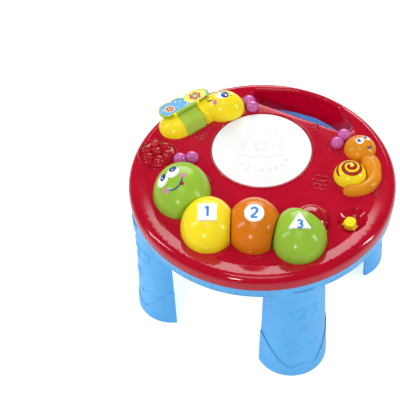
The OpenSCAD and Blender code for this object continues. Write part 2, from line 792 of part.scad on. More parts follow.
wing_start = -0.2;
wing_slope = 8;

// Two rounded lobes seen from above, the small one over the tail and the large one beside the head
module wing_outline() {
  intersection() {
    union() {
      translate([-1.5, 11.5]) circle(r = 15, $fn = 64);
      translate([13, 12.5]) circle(r = 13, $fn = 64);
      translate([36, 9.5]) scale([1.46, 1]) circle(r = 13, $fn = 64);
      translate([-2, 0]) square([42, 16]);
    }
    translate([-40, 0]) square([100, 60]);
  }
}

module wing()
  color("yellowgreen") fly_frame(pin_z) rotate([-wing_slope, 0, 0])
    difference() {
      union() {
        difference() {
          translate([0, 0, -wing_t / 2]) linear_extrude(wing_t) wing_outline();
          rotate([wing_slope, 0, 0]) wing_notches();
        }
        translate([wing_start, 0, 0]) rotate([0, 90, 0])
          cylinder(r = knuckle_r, h = roller_l - 2 * wing_start - 0.4, $fn = 32);
      }
      translate([-20, 0, 0]) rotate([0, 90, 0]) cylinder(r = pin_r + run_gap, h = 80, $fn = 32);
    }

// Room for the lugs at both ends of the wing's knuckle
module wing_notches() {
  translate([-30, -5, -10]) cube([30 + wing_start, 5 + knuckle_r + 0.6, 20]);
  translate([roller_l + 0.2, -5, -10]) cube([40, 5 + knuckle_r + 0.6, 20]);
}

module wing_pin()
  color("silver") fly_frame(pin_z) translate([-4.5, 0, 0]) rotate([0, 90, 0])
    cylinder(r = pin_r, h = roller_l + 9, $fn = 32);

// ---- snail ----

// The body curls round the shell from the head to the tail: a half-round bar on an arc
snail_arc_r = shell_r - 1.2 + snail_body_w / 2;
snail_arc_c = shell_c + [0.8, 4.4];
snail_tail_a = -74;
snail_neck_a = 84;
// The screw holes stop under the body's skin
snail_hole = 7;
neck_c = [109.5, 73];
neck_turn = -59;
neck_size = [22, 12.8, 10.5];

module snail_bar(a) translate([snail_arc_c.x, snail_arc_c.y, deck_z - 2]) rotate(a) children();

module snail_body()
  color("darkorange")
    difference() {
      on_deck()
        difference() {
          union() {
            translate([snail_head_c.x, snail_head_c.y, deck_z]) scale([1, 1, 0.82]) sphere(r = snail_head_r);
            snail_bar(snail_tail_a) rotate_extrude(angle = snail_neck_a - snail_tail_a, $fn = 120)
              translate([snail_arc_r, 0]) scale([1, 1.25]) circle(r = snail_body_w / 2, $fn = 48);
            for (a = [snail_tail_a, snail_neck_a])
              snail_bar(a) translate([snail_arc_r, 0]) scale([0.95, 0.8, 1.18]) sphere(r = snail_body_w / 2);
            translate([neck_c.x, neck_c.y, deck_z - 2]) rotate(neck_turn) scale(neck_size / 10)
              sphere(r = 10);
          }
          difference() {
            translate([snail_head_c.x, snail_head_c.y, deck_z]) scale([1, 1, 0.8])
              sphere(r = snail_head_r - 2.2);
            trim_boss(trim_spots[2], 30);
          }
        }
      translate([shell_c.x, shell_c.y, deck_z - 5]) cylinder(r = shell_r + 0.6, h = 60);
      for (i = [2:4]) screw_boss_hole(trim_spots[i], pilot_r, deck_z - 1, snail_hole);
    }

// The shell is a cap of this ball
shell_ball = (shell_r * shell_r + shell_h * shell_h) / (2 * shell_h);

module snail_shell()
  color("gold") translate([shell_c.x, shell_c.y, deck_z + 0.4])
    difference() {
      union() {
        difference() {
          translate([0, 0, shell_h - shell_ball]) sphere(r = shell_ball);
          translate([0, 0, shell_h - shell_ball]) sphere(r = shell_ball - 2);
          translate([-far / 2, -far / 2, -far]) cube(far);
        }
        translate([0, 0, 0]) cylinder(r = shaft_r + 1.5, h = shell_h - 1, $fn = 48);
        translate([0, 0, under_deck - 4.6 - deck_z - 0.4]) cylinder(r = shaft_r, h = 10, $fn = 48);
      }
      translate([0, 0, -30]) cylinder(r = 1.2, h = 36, $fn = 32);
    }

module shell_retainer()
  color("silver") translate([shell_c.x, shell_c.y, under_deck - 6.1])
    difference() {
      cylinder(r = 6.5, h = 1.5, $fn = 48);
      translate([0, 0, -1]) cylinder(r = 1.25, h = 6, $fn = 32);
    }

module shell_screw()
  color("silver") screw([shell_c.x, shell_c.y], under_deck - 8.1, 9, 1.15, 2.6, 1.9);

module snail_antennae() antennae(snail_balls, 2);

// ---- switch ----

module switch_knob()
  color("gold") switch_frame(0) translate([-switch_travel, 0, 0]) {
    intersection() {
      translate([0, 0, knob_z]) cylinder(r = knob_r, h = knob_h, $fn = 64);
      translate([-knob_r, -6, knob_z]) cube([2 * knob_r, 12, knob_h]);
      translate([0, 0, knob_z + 1.4]) sphere(r = knob_r + 2.1);
    }
    translate([-4, -8.2, knob_z]) cube([8, 16.4, 1.2]);
    translate([-2.5, -1.9, switch_base + 6.2]) cube([5, 3.8, knob_z + 0.5 - switch_base - 6.2]);
  }

switch_base = deck_z - bowl_d - wall - 9.5;
ear_x = 13.2;

// A slide switch whose ears fit over two posts under the bowl
module slide_switch()
  color("dimgray") switch_frame(switch_base) {
    difference() {
      union() {
        translate([-11, -4.5, 0]) cube([22, 9, 9]);
        translate([-ear_x - 3, -3, 6.2]) cube([2 * ear_x + 6, 6, 2]);
      }
      translate([-switch_travel - 3, -2.3, 5]) cube([2 * switch_travel + 6, 4.6, 10]);
      for (x = [-1, 1]) translate([x * ear_x, 0, 5]) cylinder(r = 1.52, h = 10, $fn = 32);
    }
    for (x = [-6, 0, 6]) translate([x - 0.5, -0.5, -2.5]) cube([1, 1, 3]);
  }

// ---- electrics ----

module screw(p, z, l, r, head_r, head_t)
  translate([p.x, p.y, z]) {
    difference() {
      cylinder(r = head_r, h = head_t, $fn = 32);
      translate([-head_r * 0.6, -0.3, -1]) cube([head_r * 1.2, 0.6, 1.6]);
      translate([-0.3, -head_r * 0.6, -1]) cube([0.6, head_r * 1.2, 1.6]);
    }
    translate([0, 0, head_t - 0.1]) cylinder(r = r, h = l, $fn = 32);
  }

module screw_down(p, z, l, r, head_r, head_t)
  translate([p.x, p.y, z]) rotate([180, 0, 0]) screw([0, 0], -head_t, l, r, head_r, head_t);

module main_board()
  color("darkgreen") translate([main_c.x, main_c.y, board_z + 0.02])
    difference() {
      translate([-main_w / 2, -main_d / 2, 0]) cube([main_w, main_d, board_t]);
      for (p = main_bosses) translate([p.x, p.y, -1]) cylinder(r = 1.5, h = 6, $fn = 32);
    }

module sound_chip()
  color("black") {
    translate([main_c.x + 10, main_c.y - 22, board_top + 0.05]) scale([1, 1, 0.3])
      difference() { sphere(r = 8); translate([-20, -20, -40]) cube(40); }
    for (x = [-8, 0]) translate([main_c.x - 22 + x, main_c.y - 24, board_top + 0.05]) cube([5, 3, 2.2]);
  }

module board_screws()
  color("silver") {
    for (p = main_bosses) screw_down(main_c + p, board_top + 0.05, 6.5, 1.05, 2.4, 1.6);
    for (p = strap_spots) screw_down(p, strap_z + 1.03, 6.5, 1.05, 2.4, 1.6);
  }

module lamp(p, z)
  translate([p.x, p.y, z]) {
    cylinder(r = 2.9, h = 1, $fn = 32);
    cylinder(r = 2.4, h = 5, $fn = 32);
    translate([0, 0, 5]) sphere(r = 2.4, $fn = 32);
  }

lamp_z = flange_z - 3.4;

module lamp_stalk(c)
  translate([c.x, c.y, tray_floor + 0.1]) {
    cylinder(r = 5, h = 2, $fn = 32);
    cylinder(r = 2, h = lamp_z - tray_floor, $fn = 32);
  }

// Lamps under the drum, and one on a stalk under each lens
module lamps()
  color("ivory") {
    for (p = lamp_spots) lamp(p, board_top + 0.05);
    for (c = [tail_lens_c, flower_c]) {
      lamp(c, lamp_z);
      lamp_stalk(c);
    }
  }

module speaker_frame()
  color("gray") translate([speaker_c.x, speaker_c.y, speaker_z])
    rotate_extrude($fn = 96) polygon([[speaker_r - 4, 0], [speaker_r, 0], [speaker_r, 1.4],
      [speaker_r - 3.5, 1.6],
      [13, 8.5], [13, 11], [8, 11], [8, 9.8], [11.8, 9.8], [11.8, 7.8], [speaker_r - 4, 1.4]]);

module speaker_cone()
  color("black") translate([speaker_c.x, speaker_c.y, speaker_z])
    rotate_extrude($fn = 96) polygon([[0, 3.6], [4, 5], [7, 6.2], [speaker_r - 5.4, 0.6],
      [speaker_r - 4.3, 0.6],
      [speaker_r - 4.3, 1], [7.4, 7.2], [0, 7.2]]);

module speaker_magnet()
  color("silver") translate([speaker_c.x, speaker_c.y, speaker_z + 11.05]) cylinder(r = 11, h = 5, $fn = 64);

// A steel strap that holds the speaker down, screwed to two posts of the tray
module speaker_clamp()
  color("silver") translate([speaker_c.x, speaker_c.y, strap_z])
    difference() {
      translate([-strap_x - 4, -4, 0]) cube([2 * strap_x + 8, 8, 1]);
      for (x = [-strap_x, strap_x]) translate([x, 0, -1]) cylinder(r = 1.5, h = 3, $fn = 32);
    }

module cell_place(i)
  translate([well_c.x, well_c.y + i * (2 * cell_r + 0.8), tray_floor + cell_r + 0.6]) children();

module batteries()
  color("darkslategray")
    for (i = [-1:1]) cell_place(i) translate([0.5 - cell_l / 2, 0, 0]) rotate([0, 90, 0]) {
      cylinder(r = cell_r, h = cell_l - 1, $fn = 64);
      translate([0, 0, cell_l - 1.1]) cylinder(r = 2.7, h = 1.1, $fn = 32);
    }

module battery_contacts()
  color("silver")
    for (i = [-1:1], s = [-1, 1])
      cell_place(i) translate([s * (well_l / 2 - 0.55), 0, 0]) {
        translate([-0.4, -5.5, -6]) cube([0.8, 11, 12]);
        rotate([0, -90 * s, 0]) cylinder(r = s < 0 ? 4 : 2, h = s < 0 ? 3.8 : 2.9, $fn = 32);
      }

module battery_door()
  color("deepskyblue")
    difference() {
      union() {
        translate([well_c.x - door_x, well_c.y - door_y, tray_z + 0.01])
          cube([2 * door_x, 2 * door_y, wall - 0.8 - 0.1]);
        well_box(-fit - 0.2, tray_z + 0.5, tray_floor);
      }
      screw_boss_hole(door_screw_c, clear_r, tray_z - 1, 10);
      for (i = [-3:3]) translate([well_c.x - 20, well_c.y + i * 4 + 4, tray_z - 1]) cube([40, 1.4, 1.5]);
    }

module door_screw()
  color("silver") screw(door_screw_c, tray_z - 1.9, 10, 1.2, 3, 1.9);

module case_screws()
  color("silver") for (p = screw_spots) screw(p, tray_z + 0.9, boss_meet + 9 - tray_z - 3, 1.25, 2.9, 2.05);

module trim_screws()
  color("silver") for (p = trim_spots) screw(p, under_deck - 2.1, 8, 1.2, 2.9, 2);

// Wires, each a chain of straight runs between hand-picked points
wire_r = 0.7;
wires = [
  [[-24.15, -10, 162], [-28, -10, 162], [-28, 8, 167.15]],
  [[-24.15, -40, 162], [-31, -40, 162], [-34, -8, 162], [-34, 8, 167.15]],
  [[67.3, 32.5, 154.3], [66, 35.5, 156.6], [40, 46, 160], [24, 46, 167.15]],
  [[62.6, 29.3, 154.4], [60.5, 31.5, 156.6], [38, 40, 160], [24, 40, 167.15]],
  [[-8, 8, 170.4], [-14, -50, 170.4], [-15, -83, 170.4]],
  [[-64, 20, 167.15], [-112, -14, 158], [-123, -24, 153.4]],
];

module wire(points)
  for (i = [0:len(points) - 2]) let (p = points[i], q = points[i + 1], d = q - p) {
    translate([p.x, p.y, p.z]) rotate([0, acos(d.z / norm(d)), atan2(d.y, d.x)])
      cylinder(r = wire_r, h = norm(d) + wire_r / 2, $fn = 8);
  }

module wiring() color("red") for (w = wires) wire(w);

top_shell();
bottom_shell();
leg(leg_angles[0]);  // leg_front_left
leg(leg_angles[1]);  // leg_front_right
leg(leg_angles[2]);  // leg_back_left
leg(leg_angles[3]);  // leg_back_right
drum_pad();
drum_reflector();
drum_springs();
drum_contacts();
head_button();
yellow_key();
orange_key();
green_key();
head_spring();
yellow_spring();
orange_spring();
green_spring();
square_label();
round_label();
triangle_label();
key_board();
key_contacts();
worm_antennae();
tail_lens();
flower_lens();
butterfly_head();
butterfly_tail();
butterfly_antennae();
roller();
roller_axle();
wing();
wing_pin();
snail_body();
snail_shell();
shell_retainer();
shell_screw();
snail_antennae();
switch_knob();
slide_switch();
main_board();
sound_chip();
board_screws();
lamps();
speaker_frame();
speaker_cone();
speaker_magnet();
speaker_clamp();
batteries();
battery_contacts();
battery_door();
door_screw();
case_screws();
trim_screws();
wiring();
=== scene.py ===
import math

import bmesh
import bpy
import numpy as np
from mathutils import Matrix, Vector
from mathutils.geometry import delaunay_2d_cdt


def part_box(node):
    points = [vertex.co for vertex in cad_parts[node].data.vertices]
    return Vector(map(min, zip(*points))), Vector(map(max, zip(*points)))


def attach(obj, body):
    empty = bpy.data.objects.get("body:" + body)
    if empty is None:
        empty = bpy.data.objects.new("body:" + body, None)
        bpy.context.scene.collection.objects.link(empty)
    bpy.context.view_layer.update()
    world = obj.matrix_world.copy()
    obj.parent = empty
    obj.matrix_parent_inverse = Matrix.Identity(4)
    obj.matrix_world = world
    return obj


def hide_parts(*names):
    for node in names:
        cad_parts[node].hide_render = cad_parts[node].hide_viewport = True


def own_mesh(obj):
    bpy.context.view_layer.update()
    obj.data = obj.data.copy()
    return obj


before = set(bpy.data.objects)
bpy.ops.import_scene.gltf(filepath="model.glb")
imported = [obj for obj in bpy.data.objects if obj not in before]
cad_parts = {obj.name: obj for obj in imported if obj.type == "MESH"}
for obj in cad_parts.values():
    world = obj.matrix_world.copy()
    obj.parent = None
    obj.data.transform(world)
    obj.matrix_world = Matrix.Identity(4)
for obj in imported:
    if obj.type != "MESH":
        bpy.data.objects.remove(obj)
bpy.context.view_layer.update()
print("table: frame loaded,", len(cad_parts), "nodes")

# sizes shared with the frame, in metres
deck = {"height": 0.190, "radius": 0.160, "bodyTurn": 27.6, "underFlange": 0.1851, "flangeTop": 0.1871}


view = {
    "place": (0.47501, -0.91442, 1.33800),
    "back": (0.343555, -0.557635, 0.755654),
    "right": (0.871429, 0.489262, -0.035140),
    "up": (-0.350117, 0.670572, 0.654027),
    "lens": 115.902,
    "sensor": 36.0,
    "near": 0.05,
    "far": 30,
}


def makeCamera():
    data = bpy.data.cameras.new("tableCamera")
    data.lens, data.sensor_width = view["lens"], view["sensor"]
    data.clip_start, data.clip_end = view["near"], view["far"]
    camera = bpy.data.objects.new("tableCamera", data)
    columns = Matrix([view["right"], view["up"], view["back"]]).transposed()
    camera.matrix_world = Matrix.Translation(view["place"]) @ columns.to_4x4()
    bpy.context.scene.collection.objects.link(camera)
    bpy.context.scene.camera = camera


makeCamera()
bpy.context.scene.view_settings.view_transform = "Standard"

room = {
    "floorColour": (0.93, 0.93, 0.93),
    "floorReach": 6.0,
    "floorRough": 0.6,
    "floorGloss": 0.1,
    "floorLift": 0.56,
    "worldLevel": 0.49,
    "glossLevel": 0.12,
    "aim": (0, 0, 0.15),
    # name: azimuth, elevation, distance, width, height, watts
    "lamps": {
        "frontLamp": (8, 34, 1.8, 0.24, 0.24, 6.0),
        "leftLamp": (-62, 36, 1.9, 0.18, 1.1, 8.0),
        "rightLamp": (112, 22, 1.9, 0.16, 0.8, 8.0),
        "backLamp": (205, 28, 2.3, 1.7, 1.25, 30.0),
        "topLamp": (20, 78, 2.2, 0.9, 0.9, 7.0),
    },
}


def whiteForCamera(tree, level, seenLevel, glossLevel):
    # one strength for what the camera and clear plastic see, one for gloss, and the lamp level for the rest
    path = tree.nodes.new("ShaderNodeLightPath")
    either = tree.nodes.new("ShaderNodeMath")
    either.operation = "MAXIMUM"
    tree.links.new(path.outputs["Is Camera Ray"], either.inputs[0])
    tree.links.new(path.outputs["Is Transmission Ray"], either.inputs[1])
    spread = tree.nodes.new("ShaderNodeMapRange")
    tree.links.new(either.outputs[0], spread.inputs["Value"])
    spread.inputs["To Min"].default_value = level
    spread.inputs["To Max"].default_value = seenLevel
    dim = tree.nodes.new("ShaderNodeMath")
    dim.operation = "MULTIPLY_ADD"
    dim.inputs[1].default_value = glossLevel - level
    tree.links.new(path.outputs["Is Glossy Ray"], dim.inputs[0])
    tree.links.new(spread.outputs["Result"], dim.inputs[2])
    return dim.outputs[0]


def makeRoom():
    world = bpy.data.worlds.new("studio")
    bpy.context.scene.world = world
    world.use_nodes = True
    background = world.node_tree.nodes["Background"]
    background.inputs["Color"].default_value = (1, 1, 1, 1)
    strength = whiteForCamera(world.node_tree, room["worldLevel"], 1.0, room["glossLevel"])
    world.node_tree.links.new(strength, background.inputs["Strength"])

    mesh = bpy.data.meshes.new("floor")
    corners = room["floorReach"] * np.array([[-1, -1, 0], [1, -1, 0], [1, 1, 0], [-1, 1, 0]])
    mesh.from_pydata(corners.tolist(), [], [(0, 1, 2, 3)])
    floor = bpy.data.objects.new("floor", mesh)
    bpy.context.scene.collection.objects.link(floor)
    material = bpy.data.materials.new("paleFloor")
    material.use_nodes = True
    shader = material.node_tree.nodes["Principled BSDF"]
    shader.inputs["Base Color"].default_value = (*room["floorColour"], 1)
    shader.inputs["Roughness"].default_value = room["floorRough"]
    shader.inputs["Specular IOR Level"].default_value = room["floorGloss"]
    shader.inputs["Emission Color"].default_value = (1, 1, 1, 1)
    strength = whiteForCamera(material.node_tree, 0.0, room["floorLift"], 0.0)
    material.node_tree.links.new(strength, shader.inputs["Emission Strength"])
    mesh.materials.append(material)

    middle = Vector(room["aim"])
    for name, (azimuth, elevation, distance, width, height, watts) in room["lamps"].items():
        a, e = math.radians(azimuth), math.radians(elevation)
        towards = Vector((math.sin(a) * math.cos(e), -math.cos(a) * math.cos(e), math.sin(e)))
        light = bpy.data.lights.new(name, "AREA")
        light.shape, light.size, light.size_y, light.energy = "RECTANGLE", width, height, watts
        lamp = bpy.data.objects.new(name, light)
        lamp.location = middle + towards * distance
        lamp.rotation_mode = "QUATERNION"
        lamp.rotation_quaternion = towards.to_track_quat("Z", "Y")
        bpy.context.scene.collection.objects.link(lamp)


makeRoom()
print("table: camera, floor and lamps placed")


finishes = {
    # name: colour, roughness, colour shift, grain depth (m), gloss level, subsurface, transmission
    "redCover": ((0.475, 0.0006, 0.02), 0.1, 0.05, 0.000006, 0.45, 0.0, 0.0),
    "skyBlue": ((0.125, 0.50, 0.97), 0.36, 0.04, 0.00003, 0.25, 0.08, 0.0),
    "rollerGreen": ((0.42, 0.62, 0.07), 0.2, 0.05, 0.00001, 0.4, 0.1, 0.0),
    "leafGreen": ((0.31, 0.54, 0.045), 0.2, 0.05, 0.00001, 0.3, 0.1, 0.0),
    "sunYellow": ((0.98, 0.78, 0.018), 0.2, 0.04, 0.00001, 0.3, 0.1, 0.0),
    "orangeKey": ((0.70, 0.19, 0.006), 0.2, 0.05, 0.00001, 0.3, 0.1, 0.0),
    "snailOrange": ((0.74, 0.27, 0.008), 0.22, 0.05, 0.00001, 0.3, 0.1, 0.0),
    "pinkBall": ((0.60, 0.12, 0.43), 0.1, 0.06, 0.00001, 0.8, 0.1, 0.0),
    "clearRed": ((0.72, 0.01, 0.03), 0.08, 0.04, 0.000005, 0.5, 0.0, 0.55),
    "milkWhite": ((0.85, 0.85, 0.85), 0.45, 0.02, 0.00002, 0.2, 0.1, 0.0),
    "labelWhite": ((0.93, 0.93, 0.92), 0.3, 0.02, 0.00002, 0.3, 0.05, 0.0),
    "printWhite": ((0.93, 0.93, 0.93), 0.3, 0.02, 0.00001, 0.3, 0.0, 0.0),
    "printBlue": ((0.012, 0.055, 0.28), 0.3, 0.05, 0.00001, 0.3, 0.0, 0.0),
    "printSky": ((0.045, 0.25, 0.68), 0.3, 0.05, 0.00001, 0.3, 0.0, 0.0),
    "printPink": ((0.62, 0.25, 0.40), 0.4, 0.05, 0.00001, 0.2, 0.0, 0.0),
    "printRed": ((0.40, 0.022, 0.012), 0.35, 0.05, 0.00001, 0.2, 0.0, 0.0),
    "printField": ((0.075, 0.36, 0.80), 0.3, 0.05, 0.00001, 0.25, 0.0, 0.0),
    "printCream": ((0.90, 0.74, 0.35), 0.35, 0.04, 0.00001, 0.2, 0.0, 0.0),
    "whitePlastic": ((0.8, 0.8, 0.8), 0.4, 0.02, 0.00002, 0.5, 0.0, 0.0),
    "blackPlastic": ((0.02, 0.02, 0.022), 0.5, 0.1, 0.00003, 0.5, 0.0, 0.0),
    "boardGreen": ((0.015, 0.10, 0.03), 0.45, 0.2, 0.00003, 0.5, 0.0, 0.0),
    "darkRubber": ((0.03, 0.03, 0.032), 0.75, 0.1, 0.00004, 0.4, 0.0, 0.0),
    "paperCone": ((0.02, 0.02, 0.02), 0.9, 0.25, 0.0001, 0.2, 0.0, 0.0),
    "cellWrap": ((0.02, 0.03, 0.05), 0.3, 0.15, 0.00002, 0.5, 0.0, 0.0),
    "lampResin": ((0.85, 0.83, 0.74), 0.15, 0.03, 0.00001, 0.5, 0.3, 0.0),
    "redWire": ((0.55, 0.02, 0.02), 0.45, 0.05, 0.00002, 0.4, 0.0, 0.0),
    "steel": ((0.56, 0.56, 0.57), 0.28, 0.08, 0.00001, 0.5, 0.0, 0.0),
}
moulding = {
    "mottleScale": 38.0, "mottleDetail": 3, "mottleFrom": 0.3, "mottleTo": 0.7,
    "grainScale": 900.0, "grainStrength": 0.5, "roughSpread": 0.05, "leastRough": 0.02, "softDepth": 0.004,
}
madeMaterials = {}


def finish(name):
    # slow mottling in the colour, a little spread in the roughness and a fine grain in the bump
    if name in madeMaterials:
        return madeMaterials[name]
    colour, rough, shift, grain, gloss, soft, clear = finishes[name]
    material = bpy.data.materials.new(name)
    material.use_nodes = True
    nodes, links = material.node_tree.nodes, material.node_tree.links
    shader = nodes["Principled BSDF"]
    place = nodes.new("ShaderNodeTexCoord")
    mottle = nodes.new("ShaderNodeTexNoise")
    mottle.inputs["Scale"].default_value = moulding["mottleScale"]
    mottle.inputs["Detail"].default_value = moulding["mottleDetail"]
    links.new(place.outputs["Object"], mottle.inputs["Vector"])
    ramp = nodes.new("ShaderNodeValToRGB")
    dark, light = ramp.color_ramp.elements
    dark.position, light.position = moulding["mottleFrom"], moulding["mottleTo"]
    dark.color = (*[c * (1 - shift) for c in colour], 1)
    light.color = (*[min(1, c * (1 + shift)) for c in colour], 1)
    links.new(mottle.outputs["Fac"], ramp.inputs["Fac"])
    links.new(ramp.outputs["Color"], shader.inputs["Base Color"])
    spread = nodes.new("ShaderNodeMapRange")
    spread.inputs["To Min"].default_value = max(moulding["leastRough"], rough - moulding["roughSpread"])
    spread.inputs["To Max"].default_value = rough + moulding["roughSpread"]
    links.new(mottle.outputs["Fac"], spread.inputs["Value"])
    links.new(spread.outputs["Result"], shader.inputs["Roughness"])
    fine = nodes.new("ShaderNodeTexNoise")
    fine.inputs["Scale"].default_value = moulding["grainScale"]
    links.new(place.outputs["Object"], fine.inputs["Vector"])
    bump = nodes.new("ShaderNodeBump")
    bump.inputs["Distance"].default_value = grain
    bump.inputs["Strength"].default_value = moulding["grainStrength"]
    links.new(fine.outputs["Fac"], bump.inputs["Height"])
    links.new(bump.outputs["Normal"], shader.inputs["Normal"])
    values = {"Metallic": float(name == "steel"), "Specular IOR Level": gloss, "Subsurface Weight": soft,
              "Subsurface Radius": [moulding["softDepth"]] * 3, "Transmission Weight": clear}
    for socket, value in values.items():
        shader.inputs[socket].default_value = value
    madeMaterials[name] = material
    return material


nodeFinishes = {
    "redCover": ["top_shell"],
    "skyBlue": ["bottom_shell", "leg_front_left", "leg_front_right", "leg_back_left", "leg_back_right",
                "battery_door"],
    "leafGreen": ["head_button", "green_key", "roller", "wing"],
    "sunYellow": ["yellow_key", "butterfly_head", "butterfly_tail", "snail_shell", "switch_knob"],
    "orangeKey": ["orange_key"],
    "snailOrange": ["snail_body"],
    "pinkBall": ["worm_antennae", "butterfly_antennae", "snail_antennae"],
    "clearRed": ["tail_lens", "flower_lens"],
    "milkWhite": ["drum_pad"],
    "labelWhite": ["square_label", "round_label", "triangle_label"],
    "whitePlastic": ["drum_reflector"],
    "blackPlastic": ["slide_switch", "sound_chip"],
    "boardGreen": ["main_board", "key_board"],
    "darkRubber": ["drum_contacts", "key_contacts"],
    "paperCone": ["speaker_cone"],
    "cellWrap": ["batteries"],
    "lampResin": ["lamps"],
    "redWire": ["wiring"],
}


def dressNodes():
    given = {node: name for name, group in nodeFinishes.items() for node in group}
    for node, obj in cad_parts.items():
        material = finish(given.get(node, "steel"))
        obj.data.materials.clear()
        obj.data.materials.append(material)


dressNodes()
print("table: nodes dressed")


def gridQuads(rows, columns, wrap=True):
    # quad (i, j) joins row i to row i + 1 and column j to column j + 1, and the last column to the first
    # if wrapped
    i, j = np.meshgrid(np.arange(rows - 1), np.arange(columns if wrap else columns - 1), indexing="ij")
    k = (j + 1) % columns
    return np.stack([i * columns + j, i * columns + k, (i + 1) * columns + k, (i + 1) * columns + j],
                    -1).reshape(-1, 4)


def closedGrid(grid):
    # a rows x columns x 3 grid, wrapped along its columns, with its first and last rows drawn in to their
    # mean points
    rows, columns = grid.shape[:2]
    points = np.concatenate([grid.reshape(-1, 3), grid[:1].mean(1), grid[-1:].mean(1)])
    first, last = rows * columns, rows * columns + 1
    j = np.arange(columns)
    k = (j + 1) % columns
    end = (rows - 1) * columns
    low = np.stack([np.full(columns, first), k, j], -1)
    high = np.stack([np.full(columns, last), end + j, end + k], -1)
    return points, gridQuads(rows, columns).tolist() + low.tolist() + high.tolist()


def joined(parts):
    points, faces, base = [], [], 0
    for p, f in parts:
        points.append(p)
        faces += [[n + base for n in face] for face in f]
        base += len(p)
    return np.concatenate(points), faces


mergeDistance = 2e-6


def placed(name, mesh, body, look, sharpDegrees, outward):
    # the mesh merged at its corners, faced outward if asked, shaded smooth below the angle and set on its
    # body
    work = bmesh.new()
    work.from_mesh(mesh)
    bmesh.ops.remove_doubles(work, verts=work.verts, dist=mergeDistance)
    if outward:
        bmesh.ops.recalc_face_normals(work, faces=work.faces)
    work.to_mesh(mesh)
    work.free()
    mesh.shade_smooth()
    mesh.set_sharp_from_angle(angle=math.radians(sharpDegrees))
    mesh.materials.clear()
    mesh.materials.append(finish(look))
    piece = bpy.data.objects.new(name, mesh)
    bpy.context.scene.collection.objects.link(piece)
    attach(piece, body)
    return piece


def evened(piece):
    even = piece.modifiers.new("evenFaces", "WEIGHTED_NORMAL")
    even.weight, even.keep_sharp = 100, True


def makePiece(name, shape, body, look, sharpDegrees=40, replaces=()):
    points, faces = shape
    mesh = bpy.data.meshes.new(name)
    mesh.from_pydata(points.tolist(), [], faces)
    piece = placed(name, mesh, body, look, sharpDegrees, True)
    if replaces:
        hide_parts(*replaces)
    return piece


def smoothCopy(node, name, body, look, sharpDegrees=32):
    # the node's own triangles, shaded smooth
    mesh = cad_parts[node].data.copy()
    mesh.name = name
    piece = placed(name, mesh, body, look, sharpDegrees, False)
    evened(piece)
    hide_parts(node)
    return piece


def turned(points, degrees, centre):
    # local x, y, z turned about z and moved to the centre
    a = math.radians(degrees)
    x, y, z = points[..., 0], points[..., 1], points[..., 2]
    return np.stack([centre[0] + x * math.cos(a) - y * math.sin(a),
                     centre[1] + x * math.sin(a) + y * math.cos(a),
                     centre[2] + z], -1)


def leaned(x, y, z, degrees):
    # leaned about the x axis
    a = math.radians(degrees)
    return np.stack([x, y * math.cos(a) - z * math.sin(a), y * math.sin(a) + z * math.cos(a)], -1)


def flatTurned(x, y, centre, degrees):
    c, s = math.cos(math.radians(degrees)), math.sin(math.radians(degrees))
    return np.stack([centre[0] + x * c - y * s, centre[1] + x * s + y * c], -1)


copies = {
    # node: piece, body, slot, finish
    "bottom_shell": ("tray", "case", "blue_plastic", "skyBlue"),
    "leg_front_left": ("legFrontLeft", "leg_front_left", "blue_plastic", "skyBlue"),
    "leg_front_right": ("legFrontRight", "leg_front_right", "blue_plastic", "skyBlue"),
    "leg_back_left": ("legBackLeft", "leg_back_left", "blue_plastic", "skyBlue"),
    "leg_back_right": ("legBackRight", "leg_back_right", "blue_plastic", "skyBlue"),
    "tail_lens": ("tailLens", "case", "clear_red", "clearRed"),
    "butterfly_head": ("butterflyHead", "case", "yellow_plastic", "sunYellow"),
    "butterfly_tail": ("butterflyTail", "case", "yellow_plastic", "sunYellow"),
    "snail_body": ("snailBody", "case", "orange_plastic", "snailOrange"),
    "snail_shell": ("snailShell", "shell", "yellow_plastic", "sunYellow"),
    "switch_knob": ("switchKnob", "knob", "yellow_plastic", "sunYellow"),
    "worm_antennae": ("wormAntennae", "case", "pink_plastic", "pinkBall"),
    "butterfly_antennae": ("butterflyAntennae", "case", "pink_plastic", "pinkBall"),
    "snail_antennae": ("snailAntennae", "case", "pink_plastic", "pinkBall"),
}
for node, (name, body, slot, look) in copies.items():
    smoothCopy(node, name, body, look)
print("table: smooth copies made")


springs = {
    # node: piece, joint, travel
    "drum_springs": ("drumSprings", "drum_press", 0.002),
    "head_spring": ("headSpring", "head_press", 0.003),
    "yellow_spring": ("yellowSpring", "yellow_press", 0.003),
    "orange_spring": ("orangeSpring", "orange_press", 0.003),
    "green_spring": ("greenSpring", "green_press", 0.003),
}
for node, (name, joint, travel) in springs.items():
    piece = smoothCopy(node, name, "case", "steel")
    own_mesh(piece)
print("table: springs made")


